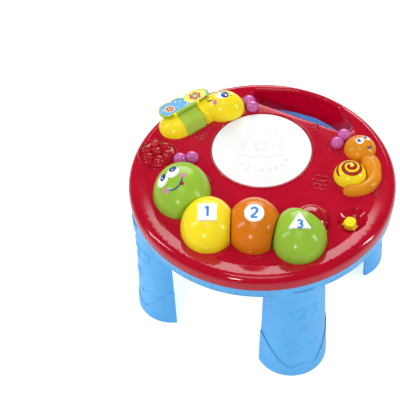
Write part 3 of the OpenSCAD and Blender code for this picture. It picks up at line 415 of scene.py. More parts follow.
cover = {
    "radius": 0.160, "rimWidth": 0.023, "rimRise": 0.0024, "rimRound": 0.0096, "rimSwing": 84,
    "thickness": 0.0026, "seam": 0.1747, "seamRound": 0.0003, "seamShrink": 0.998, "skirtDrop": 0.002,
    "drum": (-0.020, 0.0385), "drumHole": 0.0613, "beadPlace": 0.0631, "beadRadius": 0.0011,
    "lenses": [(0.083, -0.037), (-0.129, -0.027)], "lensHole": 0.0213,
    # ovals that the head and the keys come through: centre, half length, half width
    "ovals": [((-0.071, -0.068), 0.0349, 0.0406), ((-0.018, -0.0995), 0.0329, 0.0391),
              ((0.030, -0.076), 0.0329, 0.0391), ((0.082, -0.065), 0.0329, 0.0391)],
    "bowl": (0.1245, -0.0126), "bowlTurn": 84, "bowlSizes": (0.01998, 0.01628), "bowlDeep": 0.009,
    "bowlRound": 0.0185, "slot": (0.008, 0.0023),
    "roller": (-0.1315, 0.0265), "rollerTurn": 66.5, "rollerSlot": (-0.0003, 0.0297, 0.0231),
    # circles whose hull is the hand hole's edge: centre, radius, 1 where it fills the middle
    "mouth": [(-0.067, 0.119, 0.009, 0), (0.053, 0.121, 0.009, 0), (-0.022, 0.1335, 0.014, 1),
              (0.006, 0.136, 0.014, 1), (0.028, 0.132, 0.014, 1)],
    "mouthMiddle": (-0.006, 0.122), "mouthFoot": 0.1644, "mouthTaper": 0.011, "lip": 0.0052,
    # how the mouth's circles draw in: where they would meet, their shift and their thinning
    "mouthReach": 0.070, "mouthShift": 0.45, "mouthThin": 0.3,
    # points round the rim, the drum, the bowl, a lens and an oval
    "rimPoints": 300, "drumPoints": 240, "bowlPoints": 90, "lensPoints": 120, "ovalPoints": 150,
    # loops that only guide the sheet's triangles: before the rim, across the bead and inside the bowl
    "rampGuides": [0.1355, 0.137, 0.1385, 0.1445],
    "beadGuides": [-0.0011, -0.0008, -0.0004, 0, 0.0004, 0.0008, 0.0011],
    "bowlGuides": [1.06, 1, 0.9, 0.78, 0.64, 0.5, 0.36],
}


def circleLoop(centre, radius, count=200, squeeze=1.0, turn=0.0):
    t = np.linspace(0, 2 * np.pi, count, endpoint=False)
    return flatTurned(radius * np.cos(t), radius * squeeze * np.sin(t), centre, turn)


def boxLoop(centre, turn, low, high, half, step=0.003):
    # a rectangle from low to high along its own x, half to each side of it
    corners = np.array([(low, -half), (high, -half), (high, half), (low, half), (low, -half)])
    parts = []
    for a, b in zip(corners[:-1], corners[1:]):
        n = max(2, int(np.linalg.norm(b - a) / step))
        parts.append(a + (b - a) * np.linspace(0, 1, n, endpoint=False)[:, None])
    x, y = np.concatenate(parts).T
    return flatTurned(x, y, centre, turn)


def mouthLoop(shrink, grow, count=220):
    # the hull of the mouth's circles: for each direction, the point of the circle that reaches furthest;
    # the closed line is then sampled again at even steps of its length
    t = np.linspace(0, 2 * np.pi, 1441)
    d = np.stack([np.cos(t), np.sin(t)], -1)
    k = 1 - shrink / cover["mouthReach"]
    mx, my = cover["mouthMiddle"]
    shift, thin = cover["mouthShift"], cover["mouthThin"]
    spots = np.array([(mx + (x - mx) * k, my + (y - my) * k - m * shrink * shift,
                       r - m * thin * shrink + grow)
                      for x, y, r, m in cover["mouth"]])
    best = (spots[:, :2] @ d.T + spots[:, 2:]).argmax(0)
    line = spots[best, :2] + spots[best, 2:] * d
    length = np.concatenate([[0], np.cumsum(np.linalg.norm(np.diff(line, axis=0), axis=1))])
    at = np.linspace(0, length[-1], count, endpoint=False)
    return np.stack([np.interp(at, length, line[:, 0]), np.interp(at, length, line[:, 1])], -1)


def deckHeight(p):
    # flat deck, straight ramp, then the rim's round edge; the bead round the drum is a half circle in
    # section, and the bowl is the lower part of a stretched ball
    r = np.hypot(p[:, 0], p[:, 1])
    start, crown = cover["radius"] - cover["rimWidth"], cover["radius"] - cover["rimRound"]
    z = deck["height"] + cover["rimRise"] * np.clip((r - start) / (crown - start), 0, 1)
    over = np.clip(r - crown, 0, cover["rimRound"])
    z = z - (cover["rimRound"] - np.sqrt(cover["rimRound"] ** 2 - over ** 2))
    ring = np.hypot(p[:, 0] - cover["drum"][0], p[:, 1] - cover["drum"][1]) - cover["beadPlace"]
    z = z + np.sqrt(np.clip(cover["beadRadius"] ** 2 - ring ** 2, 0, None))
    c, s = math.cos(math.radians(cover["bowlTurn"])), math.sin(math.radians(cover["bowlTurn"]))
    dx, dy = p[:, 0] - cover["bowl"][0], p[:, 1] - cover["bowl"][1]
    a, b = cover["bowlSizes"]
    share = np.hypot((dx * c + dy * s) / a, (-dx * s + dy * c) / b)
    ball = (cover["bowlRound"] ** 2 + cover["bowlDeep"] ** 2) / (2 * cover["bowlDeep"])
    sunk = ball - np.sqrt(ball ** 2 - (cover["bowlRound"] * np.minimum(share, 1)) ** 2)
    return np.where(share < 1, deck["height"] - cover["bowlDeep"] + sunk, z)


def inLoop(points, loop):
    # even and odd crossings of a line towards +x
    a, b = loop, np.roll(loop, -1, 0)
    x, y = points[:, :1], points[:, 1:]
    crosses = (a[:, 1] > y) != (b[:, 1] > y)
    slope = (b[:, 0] - a[:, 0]) / np.where(b[:, 1] == a[:, 1], 1, b[:, 1] - a[:, 1])
    return (crosses & (x < a[:, 0] + (y - a[:, 1]) * slope)).sum(1) % 2 == 1


def atLevel(loop, z):
    return np.c_[loop, np.full(len(loop), z)]


def coverShape():
    # the deck is a sheet of triangles between all the loops, with a copy under it; lip, funnel and skirt
    # are rows of points that share their first row with the sheet's edge
    crown = cover["radius"] - cover["rimRound"]
    rimPoints, drumPoints = cover["rimPoints"], cover["drumPoints"]
    bowl, bowlTurn, bowlPoints = cover["bowl"], cover["bowlTurn"], cover["bowlPoints"]
    (bowlLong, bowlWide), (slotLong, slotHalf) = cover["bowlSizes"], cover["slot"]
    swing = np.linspace(0, np.radians(cover["rimSwing"]), 10)
    rings = cover["rampGuides"] + list(crown + cover["rimRound"] * np.sin(swing))
    guides = [circleLoop((0, 0), r, rimPoints) for r in rings]
    guides += [circleLoop(cover["drum"], cover["beadPlace"] + o, drumPoints) for o in cover["beadGuides"]]
    guides += [circleLoop(bowl, bowlLong * k, bowlPoints, bowlWide / bowlLong, bowlTurn)
               for k in cover["bowlGuides"]]
    lipLoop = mouthLoop(0, cover["lip"])
    holes = [circleLoop(cover["drum"], cover["drumHole"], drumPoints), lipLoop,
             boxLoop(bowl, bowlTurn, -slotLong, slotLong, slotHalf, 0.002),
             boxLoop(cover["roller"], cover["rollerTurn"], *cover["rollerSlot"])]
    holes += [circleLoop(c, cover["lensHole"], cover["lensPoints"]) for c in cover["lenses"]]
    holes += [circleLoop(c, a, cover["ovalPoints"], b / a, deck["bodyTurn"]) for c, a, b in cover["ovals"]]
    inside = [~inLoop(g, lipLoop) for g in guides]
    points, edges, base = [], [], 0
    for loop, keep in zip(guides + holes, inside + [np.ones(len(h), bool) for h in holes]):
        n = len(loop)
        index = np.arange(n)
        pairs = np.stack([index, (index + 1) % n], -1)
        pairs = pairs[keep[pairs[:, 0]] & keep[pairs[:, 1]]]
        points.append(loop)
        edges.append(pairs + base)
        base += n
    flat = np.concatenate(points)
    # the triangles are found in millimetres, where the search's own tolerance fits
    scale = 1000.0
    spots = [Vector(q) for q in (flat * scale).tolist()]
    found = delaunay_2d_cdt(spots, np.concatenate(edges).tolist(), [], 0, 1e-5)
    xy = np.array([tuple(v) for v in found[0]]) / scale
    triangles = np.array([f for f in found[2] if len(f) == 3])
    middle = xy[triangles].mean(1)
    gone = np.zeros(len(middle), bool)
    for hole in holes:
        gone |= inLoop(middle, hole)
    triangles = triangles[~gone]
    top = np.c_[xy, deckHeight(xy)]
    low = top.copy()
    low[:, 2] -= cover["thickness"]
    n = len(top)
    sheet = triangles.tolist() + (triangles[:, ::-1] + n).tolist()
    # the edges of the sheet: each is in one triangle only
    pairs = np.concatenate([triangles[:, [0, 1]], triangles[:, [1, 2]], triangles[:, [2, 0]]])
    key = np.sort(pairs, 1) @ np.array([n, 1])
    _, first, counts = np.unique(key, return_index=True, return_counts=True)
    border = pairs[first[counts == 1]]
    nearLip = np.linalg.norm(xy[:, None] - lipLoop[None], axis=2).min(1) < 1e-6
    nearRim = np.hypot(*xy.T) > rings[-1] - 1e-5
    plain = border[~(nearLip[border].all(1) | nearRim[border].all(1))]
    walls = np.stack([plain[:, 1], plain[:, 0], plain[:, 0] + n, plain[:, 1] + n], -1)
    parts = [(np.concatenate([top, low]), sheet + walls.tolist())]

    # lip: a quarter circle of the lip's radius; funnel: straight lines to the foot, then back up outside
    rows = []
    lipTop = deckHeight(lipLoop)
    for f in np.linspace(0, np.pi / 2, 9):
        loop = mouthLoop(0, cover["lip"] * (1 - math.sin(f)))
        rows.append(np.c_[loop, lipTop - cover["lip"] * (1 - math.cos(f))])
    foot = atLevel(mouthLoop(cover["mouthTaper"], 0), cover["mouthFoot"])
    neck = rows[-1]
    rows += [neck + (foot - neck) * u for u in np.linspace(0, 1, 9)[1:]]
    back = atLevel(mouthLoop(cover["mouthTaper"], cover["thickness"]), cover["mouthFoot"])
    rim = np.c_[lipLoop, lipTop - cover["thickness"]]
    rows += [back + (rim - back) * u for u in np.linspace(0, 1, 5)]
    parts.append((np.concatenate(rows), gridQuads(len(rows), len(lipLoop)).tolist()))

    # skirt: straight down from the rim's last ring, across the seam and up inside to the sheet's underside
    last = circleLoop((0, 0), rings[-1], rimPoints)
    outer = circleLoop((0, 0), cover["radius"], rimPoints)
    inner = circleLoop((0, 0), cover["radius"] - cover["thickness"], rimPoints)
    height = deckHeight(last)
    rows = [
        np.c_[last, height],
        atLevel(outer, deck["height"] + cover["rimRise"] - cover["rimRound"]),
        atLevel(outer, cover["seam"] + cover["seamRound"]),
        atLevel(outer * cover["seamShrink"], cover["seam"]),
        atLevel(inner, cover["seam"]),
        atLevel(inner, height[0] - cover["thickness"] - cover["skirtDrop"]),
        np.c_[last, height - cover["thickness"]],
    ]
    parts.append((np.concatenate(rows), gridQuads(len(rows), rimPoints).tolist()))
    return joined(parts)


def makeCover():
    piece = makePiece("cover", coverShape(), "case", "redCover", 38, ["top_shell"])
    evened(piece)
    print("table: cover made,", len(piece.data.polygons), "faces")


makeCover()


keys = {
    # piece: node, body, slot, finish,
    #        centre, half length, half width, height, planes that cut it [towards x, y, share]
    "headButton": ("head_button", "head", "green_plastic", "leafGreen",
                   (-0.071, -0.068), 0.0343, 0.040, 0.034, [(-0.018, -0.0995, 0.52)]),
    "yellowKey": ("yellow_key", "yellow", "yellow_plastic", "sunYellow",
                  (-0.018, -0.0995), 0.0323, 0.0385, 0.033, [(-0.071, -0.068, 0.48), (0.030, -0.076, 0.5)]),
    "orangeKey": ("orange_key", "orange", "orange_plastic", "orangeKey",
                  (0.030, -0.076), 0.0323, 0.0385, 0.033, [(-0.018, -0.0995, 0.5), (0.082, -0.065, 0.5)]),
    "greenKey": ("green_key", "green", "green_plastic", "leafGreen",
                 (0.082, -0.065), 0.0323, 0.0385, 0.033, [(0.030, -0.076, 0.5), (0.083, -0.037, 0.72)]),
}
keyForm = {"gap": 0.0005, "flange": 0.0018, "fillet": 0.0016, "spokes": 240, "rings": 44, "ringPower": 1.7,
           "post": 0.004, "postFoot": 0.156, "postJoin": 0.0005}


def keyShape(centre, a, b, height, cuts):
    # plan radius R(t) = the smaller of the ellipse's and the cut planes' along each spoke t; the height is
    # h sqrt(1 - (x/a)^2 - (y/b)^2), and within a fillet's width of a cut it drops by a quarter circle
    t = np.linspace(0, 2 * np.pi, keyForm["spokes"], endpoint=False)
    turn = math.radians(deck["bodyTurn"])
    ex, ey = np.cos(t), np.sin(t)
    oval = 1 / np.sqrt((ex / a) ** 2 + (ey / b) ** 2)
    out = keyForm["flange"]
    reach, flange = oval.copy(), 1 / np.sqrt((ex / (a + out)) ** 2 + (ey / (b + out)) ** 2)
    for cx, cy, share in cuts:
        dx, dy = cx - centre[0], cy - centre[1]
        far = math.hypot(dx, dy)
        nx = (dx * math.cos(turn) + dy * math.sin(turn)) / far
        ny = (-dx * math.sin(turn) + dy * math.cos(turn)) / far
        along = nx * ex + ny * ey
        limit = np.where(along > 1e-6, (far * share - keyForm["gap"]) / np.maximum(along, 1e-6), 9.0)
        reach, flange = np.minimum(reach, limit), np.minimum(flange, limit)
    cut = reach < oval - 1e-5
    s = 1 - (1 - np.linspace(0, 1, keyForm["rings"])[1:]) ** keyForm["ringPower"]
    radius = s[:, None] * reach[None]
    x, y = radius * ex, radius * ey
    z = height * np.sqrt(np.clip(1 - (x / a) ** 2 - (y / b) ** 2, 0, 1))
    away = (1 - s)[:, None] * reach[None]
    f = keyForm["fillet"]
    drop = np.where(cut[None] & (away < f), f - np.sqrt(np.clip(f * f - (f - away) ** 2, 0, None)), 0)
    z = deck["height"] + np.maximum(z - drop, 0)
    rows = [np.stack([x, y, z], -1)]
    high, low = deck["flangeTop"], deck["underFlange"]
    for r, level in ((reach, high), (flange, high), (flange, low)):
        rows.append(np.stack([r * ex, r * ey, np.full_like(r, level)], -1)[None])
    dome = closedGrid(np.concatenate(rows))
    post = tubeShape(keyForm["post"], keyForm["postFoot"], low + keyForm["postJoin"])
    points, faces = joined([dome, post])
    return turned(points, deck["bodyTurn"], (centre[0], centre[1], 0)), faces


def tubeShape(radius, low, high, columns=40):
    # a plain round post: one circle at each end, both drawn in to the axis
    t = np.linspace(0, 2 * np.pi, columns, endpoint=False)
    ring = np.stack([radius * np.cos(t), radius * np.sin(t)], -1)
    return closedGrid(np.stack([np.c_[ring, np.full(columns, low)], np.c_[ring, np.full(columns, high)]]))


for name, (node, body, slot, look, centre, a, b, height, cuts) in keys.items():
    makePiece(name, keyShape(centre, a, b, height, cuts), body, look, 50, [node])
print("table: keys made")


domes = {
    # name: centre x, y, z, half sizes, turn, body
    "wormHead": ((-0.071, -0.068, 0.190), (0.0343, 0.040, 0.034), 27.6, "head"),
    "flyHead": ((-0.0945, 0.0775, 0.190), (0.027, 0.0225, 0.025), 27.6, "case"),
    "snailHead": ((0.086, 0.093, 0.190), (0.0195, 0.0195, 0.016), 0.0, "case"),
}


def onDome(dome, unit, flat, lift):
    # flat x, y in metres in the tangent plane at the unit point are drawn to the dome along the line to
    # its centre, then lifted along the normal
    centre, sizes, turn, _ = domes[dome]
    size = np.array(sizes)
    start = np.array(unit) / np.linalg.norm(unit)
    normal = start / size
    normal /= np.linalg.norm(normal)
    side = np.cross([0, 1, 0], normal)
    side /= np.linalg.norm(side)
    upward = np.cross(normal, side)
    p = start * size + flat[..., :1] * side + flat[..., 1:2] * upward
    u = p / size
    u /= np.linalg.norm(u, axis=-1, keepdims=True)
    n = u / size
    n /= np.linalg.norm(n, axis=-1, keepdims=True)
    return turned(u * size + n * np.asarray(lift)[..., None], turn, centre), n


patchForm = {"rings": 7, "core": 0.02, "below": 0.0007, "edgeLift": 0.4}


def patchShape(place, outline, lift):
    # an outline about 0, 0 filled by shrunken copies of itself, lifted off the surface and closed below
    rings, core = patchForm["rings"], patchForm["core"]
    s = np.concatenate([np.linspace(core, 1, rings), np.linspace(1, core, rings)])
    depth = np.concatenate([np.full(rings, lift), np.full(rings, -patchForm["below"])])
    depth[rings - 1] = lift * patchForm["edgeLift"]
    flat = s[:, None, None] * outline[None]
    points, _ = place(flat, np.broadcast_to(depth[:, None], flat.shape[:2]))
    return closedGrid(points)


def ellipse(a, b, lean=0, columns=36):
    t = np.linspace(0, 2 * np.pi, columns, endpoint=False)
    return flatTurned(a * np.cos(t), b * np.sin(t), (0, 0), lean)


def smoothPath(points, count=40):
    # a Catmull-Rom curve through the points, sampled evenly in its parameter
    p = np.asarray(points, float)
    p = np.concatenate([2 * p[:1] - p[1:2], p, 2 * p[-1:] - p[-2:-1]])
    u = np.linspace(0, len(p) - 3 - 1e-9, count)
    i = u.astype(int)
    w = (u - i)[:, None]
    a, b, c, d = p[i], p[i + 1], p[i + 2], p[i + 3]
    return 0.5 * (2 * b + (c - a) * w + (2 * a - 5 * b + 4 * c - d) * w ** 2
                  + (3 * b - a - 3 * c + d) * w ** 3)


def strokeShape(path, normals, width, rise, taper=0.25, columns=10):
    # an oval section, width across and rise high, carried along the path and drawn to a point at both ends
    along = np.gradient(path, axis=0)
    along /= np.linalg.norm(along, axis=1, keepdims=True)
    across = np.cross(normals, along)
    across /= np.linalg.norm(across, axis=1, keepdims=True)
    s = np.linspace(0, 1, len(path))
    swell = np.sqrt(np.clip(np.minimum(1, np.minimum(s, 1 - s) / taper + 0.02), 0, 1))
    t = np.linspace(0, 2 * np.pi, columns, endpoint=False)
    ring = (np.cos(t)[None, :, None] * across[:, None] * width / 2 * swell[:, None, None]
            + np.sin(t)[None, :, None] * normals[:, None] * rise * swell[:, None, None])
    return closedGrid(path[:, None] + ring)


def domePatch(name, dome, unit, outline, look, lift):
    shape = patchShape(lambda flat, depth: onDome(dome, unit, flat, depth), outline, lift)
    makePiece(name, shape, domes[dome][3], look, 60)


strokeForm = {"lift": 0.0001, "rise": 0.00035, "taper": 0.25}


def domeStroke(name, dome, unit, flatPath, width):
    flat = smoothPath(flatPath, 12 * len(flatPath))
    path, normal = onDome(dome, unit, flat, np.full(len(flat), strokeForm["lift"]))
    normal = turned(normal, domes[dome][2], (0, 0, 0))
    shape = strokeShape(path, normal, width, strokeForm["rise"], strokeForm["taper"])
    makePiece(name, shape, domes[dome][3], "printBlue", 60)


faces = {
    # piece: dome, unit point, oval half sizes in mm, lean, finish, lift in mm
    "wormEyeRight": ("wormHead", (-0.283, 0.13, 0.95), (7.7, 9.2), -14, "printWhite", 0.12),
    "wormEyeLeft": ("wormHead", (-0.640, -0.07, 0.765), (8.4, 9.4), -4, "printWhite", 0.16),
    "wormPupilRight": ("wormHead", (-0.285, 0.265, 0.92), (4.7, 5.4), -10, "printBlue", 0.3),
    "wormPupilLeft": ("wormHead", (-0.62, 0.035, 0.785), (4.2, 5.6), -4, "printBlue", 0.34),
    "wormGlintRight": ("wormHead", (-0.30, 0.225, 0.925), (1.1, 1.3), 0, "printWhite", 0.46),
    "wormGlintLeft": ("wormHead", (-0.635, 0.0, 0.77), (1.1, 1.4), 0, "printWhite", 0.5),
    "wormCheekRight": ("wormHead", (0.075, -0.045, 0.99), (3.6, 3.8), 0, "printPink", 0.1),
    "wormCheekLeft": ("wormHead", (-0.51, -0.458, 0.733), (3.9, 3.6), 0, "printPink", 0.1),
    "wormTongue": ("wormHead", (0.05, -0.31, 0.95), (2.6, 3.0), 30, "printRed", 0.12),
    "flyEye": ("flyHead", (-0.06, 0.05, 1.0), (8.8, 6.6), 4, "printWhite", 0.12),
    "flyPupil": ("flyHead", (0.085, 0.06, 0.99), (5.0, 5.2), 0, "printBlue", 0.3),
    "flyGlint": ("flyHead", (0.13, 0.01, 0.985), (1.5, 1.6), 0, "printWhite", 0.46),
    "flyCheek": ("flyHead", (-0.374, -0.384, 0.844), (2.7, 3.4), 0, "printPink", 0.1),
    "snailEyeLeft": ("snailHead", (-0.058, -0.01, 0.997), (4.9, 5.2), 25, "printWhite", 0.12),
    "snailEyeRight": ("snailHead", (0.18, 0.50, 0.83), (4.6, 4.4), 20, "printWhite", 0.16),
    "snailPupilLeft": ("snailHead", (-0.10, 0.0, 0.99), (2.7, 3.2), 20, "printBlue", 0.3),
    "snailPupilRight": ("snailHead", (0.10, 0.46, 0.86), (2.3, 2.9), 20, "printBlue", 0.34),
    "snailGlintLeft": ("snailHead", (-0.04, 0.05, 0.99), (1.1, 1.2), 0, "printWhite", 0.46),
}
strokes = {
    # piece: dome, unit point, width in mm, path in mm
    "wormSmile": ("wormHead", (-0.19, -0.41, 0.89), 1.7,
                  [(-9.4, -2.2), (-5.0, -3.6), (0.5, -2.6), (5.6, 1.6), (8.8, 8.2), (10.0, 13.0)]),
    "flySmile": ("flyHead", (-0.62, -0.16, 0.77), 1.7,
                 [(-6.6, 5.6), (-3.4, 1.2), (1.4, -0.9), (5.0, -0.6)]),
    "flyLid": ("flyHead", (-0.06, 0.24, 0.97), 1.1,
               [(-8.0, -1.6), (-4, 1.6), (1, 2.8), (6, 1.4), (8.4, -1.6)]),
    "flyLashOne": ("flyHead", (-0.40, 0.40, 0.82), 1.1, [(1.4, -1.8), (0, 0), (-1.8, 1.6)]),
    "flyLashTwo": ("flyHead", (-0.14, 0.52, 0.84), 1.1, [(0.6, -1.8), (0, 0), (-0.8, 2.0)]),
    "flyLashThree": ("flyHead", (0.36, 0.02, 0.93), 1.1, [(-1.6, 0.6), (0, 0.2), (2.0, 1.0)]),
    "snailSmile": ("snailHead", (0.62, -0.02, 0.78), 2.2,
                   [(-2.6, -3.0), (-0.4, -2.6), (1.3, -0.4), (0.9, 2.6)]),
    "snailLashOne": ("snailHead", (-0.34, 0.10, 0.93), 1.0, [(1.2, -0.4), (0, 0), (-1.6, 1.0)]),
    "snailLashTwo": ("snailHead", (-0.26, 0.28, 0.92), 1.0, [(0.8, -1.0), (0, 0), (-1.0, 1.4)]),
}
for name, (dome, unit, (long, wide), lean, look, lift) in faces.items():
    domePatch(name, dome, unit, ellipse(long / 1000, wide / 1000, lean), look, lift / 1000)
for name, (dome, unit, width, path) in strokes.items():
    domeStroke(name, dome, unit, np.array(path) / 1000, width / 1000)
print("table: faces painted")


spiral = {"turns": 2.3, "outer": 0.0162, "inner": 0.0012, "width": 0.0044, "start": 244,
          "centre": (0.0935, 0.048, 0.1904), "radius": 0.0197, "height": 0.019,
          "lift": 0.00005, "rise": 0.0003, "taper": 0.04}


def spiralShape():
    # the radius shrinks evenly with the angle; the height follows the shell's cap
    t = np.linspace(0, 1, 260)
    angle = np.radians(spiral["start"]) - t * spiral["turns"] * 2 * np.pi
    r = spiral["outer"] * (1 - t) + spiral["inner"] * t
    h = spiral["height"]
    ball = (spiral["radius"] ** 2 + h ** 2) / (2 * h)
    p = np.stack([r * np.cos(angle), r * np.sin(angle), h - ball + np.sqrt(ball ** 2 - r ** 2)], -1)
    normal = (p - np.array([0, 0, h - ball])) / ball
    path = p + np.array(spiral["centre"]) + normal * spiral["lift"]
    return strokeShape(path, normal, spiral["width"], spiral["rise"], spiral["taper"])


makePiece("shellSpiral", spiralShape(), "shell", "printRed", 60)
print("table: snail's spiral made")


# digits as lines in a box one high and about 0.6 wide
digitLines = {
    "1": [[(-0.17, 0.30), (0.04, 0.50), (0.04, 0.0), (0.04, -0.50)]],
    "2": [[(-0.27, 0.27), (-0.12, 0.47), (0.14, 0.47), (0.27, 0.25), (0.12, -0.05), (-0.12, -0.28),
           (-0.29, -0.47)],
          [(-0.29, -0.47), (0.0, -0.47), (0.30, -0.47)]],
    "3": [[(-0.26, 0.40), (0.02, 0.50), (0.25, 0.30), (0.16, 0.08), (-0.06, 0.03)],
          [(-0.06, 0.03), (0.20, -0.02), (0.28, -0.25), (0.06, -0.48), (-0.27, -0.38)]],
}
labels = {
    # piece: body, centre, digit, digit height in mm, its shift up the label in mm
    "digitOne": ("yellow", (-0.018, -0.0995), "1", 13.0, 0.0),
    "digitTwo": ("orange", (0.030, -0.076), "2", 13.0, 0.0),
    "digitThree": ("green", (0.082, -0.065), "3", 10.0, -2.2),
}
labelForm = {"lean": 8, "top": 0.033 + 0.0016, "lift": 0.00003, "curvePoints": 36, "linePoints": 12,
             # width, rise and taper
             "stroke": (0.0027, 0.00025, 0.06)}


def labelPoint(centre, x, y, z):
    # the label's own frame: leaned about its x axis, then turned with the body, then moved to the key
    return turned(leaned(x, y, z, labelForm["lean"]), deck["bodyTurn"], (*centre, deck["height"]))


def makeDigits():
    for name, (body, centre, digit, size, shift) in labels.items():
        parts = []
        for line in digitLines[digit]:
            count = labelForm["curvePoints"] if len(line) > 3 else labelForm["linePoints"]
            flat = smoothPath(np.array(line) * size / 1000, count)
            x, y = flat[:, 0], flat[:, 1] + shift / 1000
            top = np.full(len(flat), labelForm["top"] + labelForm["lift"])
            path = labelPoint(centre, x, y, top)
            normal = labelPoint(centre, x, y, top + 1) - path
            parts.append(strokeShape(path, normal, *labelForm["stroke"]))
        makePiece(name, joined(parts), body, "printSky", 60)


makeDigits()
print("table: digits on the labels")


roller = {"lobes": 8, "wave": 0.0005, "round": 0.0013, "bore": 0.0024, "turn": 66.5, "length": 0.0294,
          "radius": 0.0224}


def rollerShape(columns=160):
    # rings along the axis; the radius swells and sinks a little with the angle
    edge, length, radius = roller["round"], roller["length"], roller["radius"]
    q = np.radians(np.linspace(0, 90, 6))
    back = q[::-1]
    t = np.concatenate([[0], edge * (1 - np.cos(q)), length - edge * (1 - np.cos(back)), [length]])
    t = t - length / 2
    r = np.concatenate([[0], radius - edge + edge * np.sin(q), radius - edge + edge * np.sin(back), [0]])
    a = np.linspace(0, 2 * np.pi, columns, endpoint=False)
    wave = roller["wave"] * (np.cos(roller["lobes"] * a) - 1)
    ring = np.where(r > 0, r, 0)[:, None] + np.where(r > 0, 1, 0)[:, None] * wave[None]
    ring = np.maximum(ring, roller["bore"])
    low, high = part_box("roller")
    middle = (np.array(low) + np.array(high)) / 2
    points = np.stack([np.broadcast_to(t[:, None], ring.shape), ring * np.sin(a), ring * np.cos(a)], -1)
    return closedGrid(turned(points, roller["turn"], middle))


makePiece("rollerSkin", rollerShape(), "roller", "rollerGreen", 40, ("roller",))
print("table: roller made")


wing = {
    "pin": (-0.1315, 0.0265, 0.2106), "turn": 66.5, "slope": 8, "thickness": 0.0022,
    "middle": (0.016, 0.008),
    # rounds whose union is the wing's outline: centre, half sizes
    "rounds": [((-0.0015, 0.0115), (0.015, 0.015)), ((0.013, 0.0125), (0.013, 0.013)),
               ((0.036, 0.0095), (0.01898, 0.013))],
    "block": (-0.002, 0.040, 0.016), "border": 0.0024, "lobe": ((0.0365, 0.0112), (0.0150, 0.0102)),
}


def wingPlace(x, y, z):
    # the wing's frame: leaned about the pin, then turned about the upright, then moved to the pin
    return turned(leaned(x, y, z, -wing["slope"]), wing["turn"], wing["pin"])


def wingOutline(inset, columns=180):
    # along each line from the middle, the furthest point that any round or the block covers, less the inset
    t = np.linspace(0, 2 * np.pi, columns, endpoint=False)
    d = np.stack([np.cos(t), np.sin(t)], -1)
    mx, my = wing["middle"]
    reach = np.zeros(columns)
    for (cx, cy), (a, b) in wing["rounds"]:
        a, b = a - inset, b - inset
        u, v = (mx - cx) / a, (my - cy) / b
        du, dv = d[:, 0] / a, d[:, 1] / b
        qa, qb, qc = du ** 2 + dv ** 2, u * du + v * dv, u * u + v * v - 1
        inside = qb ** 2 - qa * qc
        reach = np.maximum(reach, np.where(inside > 0, (-qb + np.sqrt(np.maximum(inside, 0))) / qa, 0))
    low, high, deep = wing["block"]
    with np.errstate(divide="ignore"):
        tx = np.where(d[:, 0] > 0, (high - mx) / d[:, 0], (low - mx) / d[:, 0])
        ty = np.where(d[:, 1] > 0, (deep - inset - my) / d[:, 1], (0.0001 - my) / d[:, 1])
        floor = np.where(d[:, 1] < 0, (inset * 1.5 - my) / np.minimum(d[:, 1], -1e-9), 9)
    reach = np.minimum(np.maximum(reach, np.minimum(np.abs(tx), np.abs(ty))), floor)
    return np.stack([mx + reach * d[:, 0], my + reach * d[:, 1]], -1)


def wingPatch(outline, lift, deep=0.0006, rings=6):
    # the outline drawn in towards its middle in rings, lifted off the wing's top and closed under it
    middle = outline.mean(0)
    s = np.concatenate([np.linspace(patchForm["core"], 1, rings), np.linspace(1, patchForm["core"], rings)])
    z = np.concatenate([np.full(rings, lift), np.full(rings, -deep)]) + wing["thickness"] / 2
    flat = middle + s[:, None, None] * (outline - middle)[None]
    return closedGrid(wingPlace(flat[..., 0], flat[..., 1], np.broadcast_to(z[:, None], flat.shape[:2])))


def wingDisc(x, y, a, lift, b=None, lean=0):
    return wingPatch(ellipse(a / 1000, (b or a) / 1000, lean, 28) + np.array([x, y]) / 1000, lift / 1000)


wingPrint = {
    # the raised edge: how far in, width, rise, taper; then the lifts of the blue field and the yellow lobe
    "edge": (0.0011, 0.0021, 0.0004, 0.001), "fieldLift": 0.00012, "lobeLift": 0.00022,
    # in mm from here on; rings of six on the lobe: reach along x and y, radius, lift; button: radius, lift
    "petals": (5.4, 5.0, 2.7, 0.32), "hearts": (5.0, 4.6, 1.4, 0.4), "button": (3.1, 0.44),
    # dots on the field: x, y, radius
    "dots": [(20.5, 4.6, 1.1), (24.6, 4.2, 0.8), (16.5, 5.2, 0.7), (28.5, 3.9, 0.6), (12.2, 19.2, 1.0),
             (8.2, 8.0, 0.8), (16.2, 15.6, 0.7), (-9.6, 15.6, 0.9)],
    "dotLift": 0.24,
    # the round on the other side: place, radius and lift of its two layers, and its star of five ovals:
    # reach, then half length, lift and half width
    "round": (-1.5, 12.6), "roundOuter": (6.4, 0.24), "roundInner": (4.9, 0.34), "starReach": 2.3,
    "star": (1.5, 0.44, 0.6),
}


def wingRing(x, y, reachX, reachY, radius, lift):
    turns = np.radians(range(0, 360, 60))
    return joined([wingDisc(x + reachX * math.cos(q), y + reachY * math.sin(q), radius, lift)
                   for q in turns])


def wingStar(x, y, reach):
    oval, turns = wingPrint["star"], np.radians(range(18, 378, 72))
    return joined([wingDisc(x + reach * math.cos(q), y + reach * math.sin(q), *oval, math.degrees(q))
                   for q in turns])


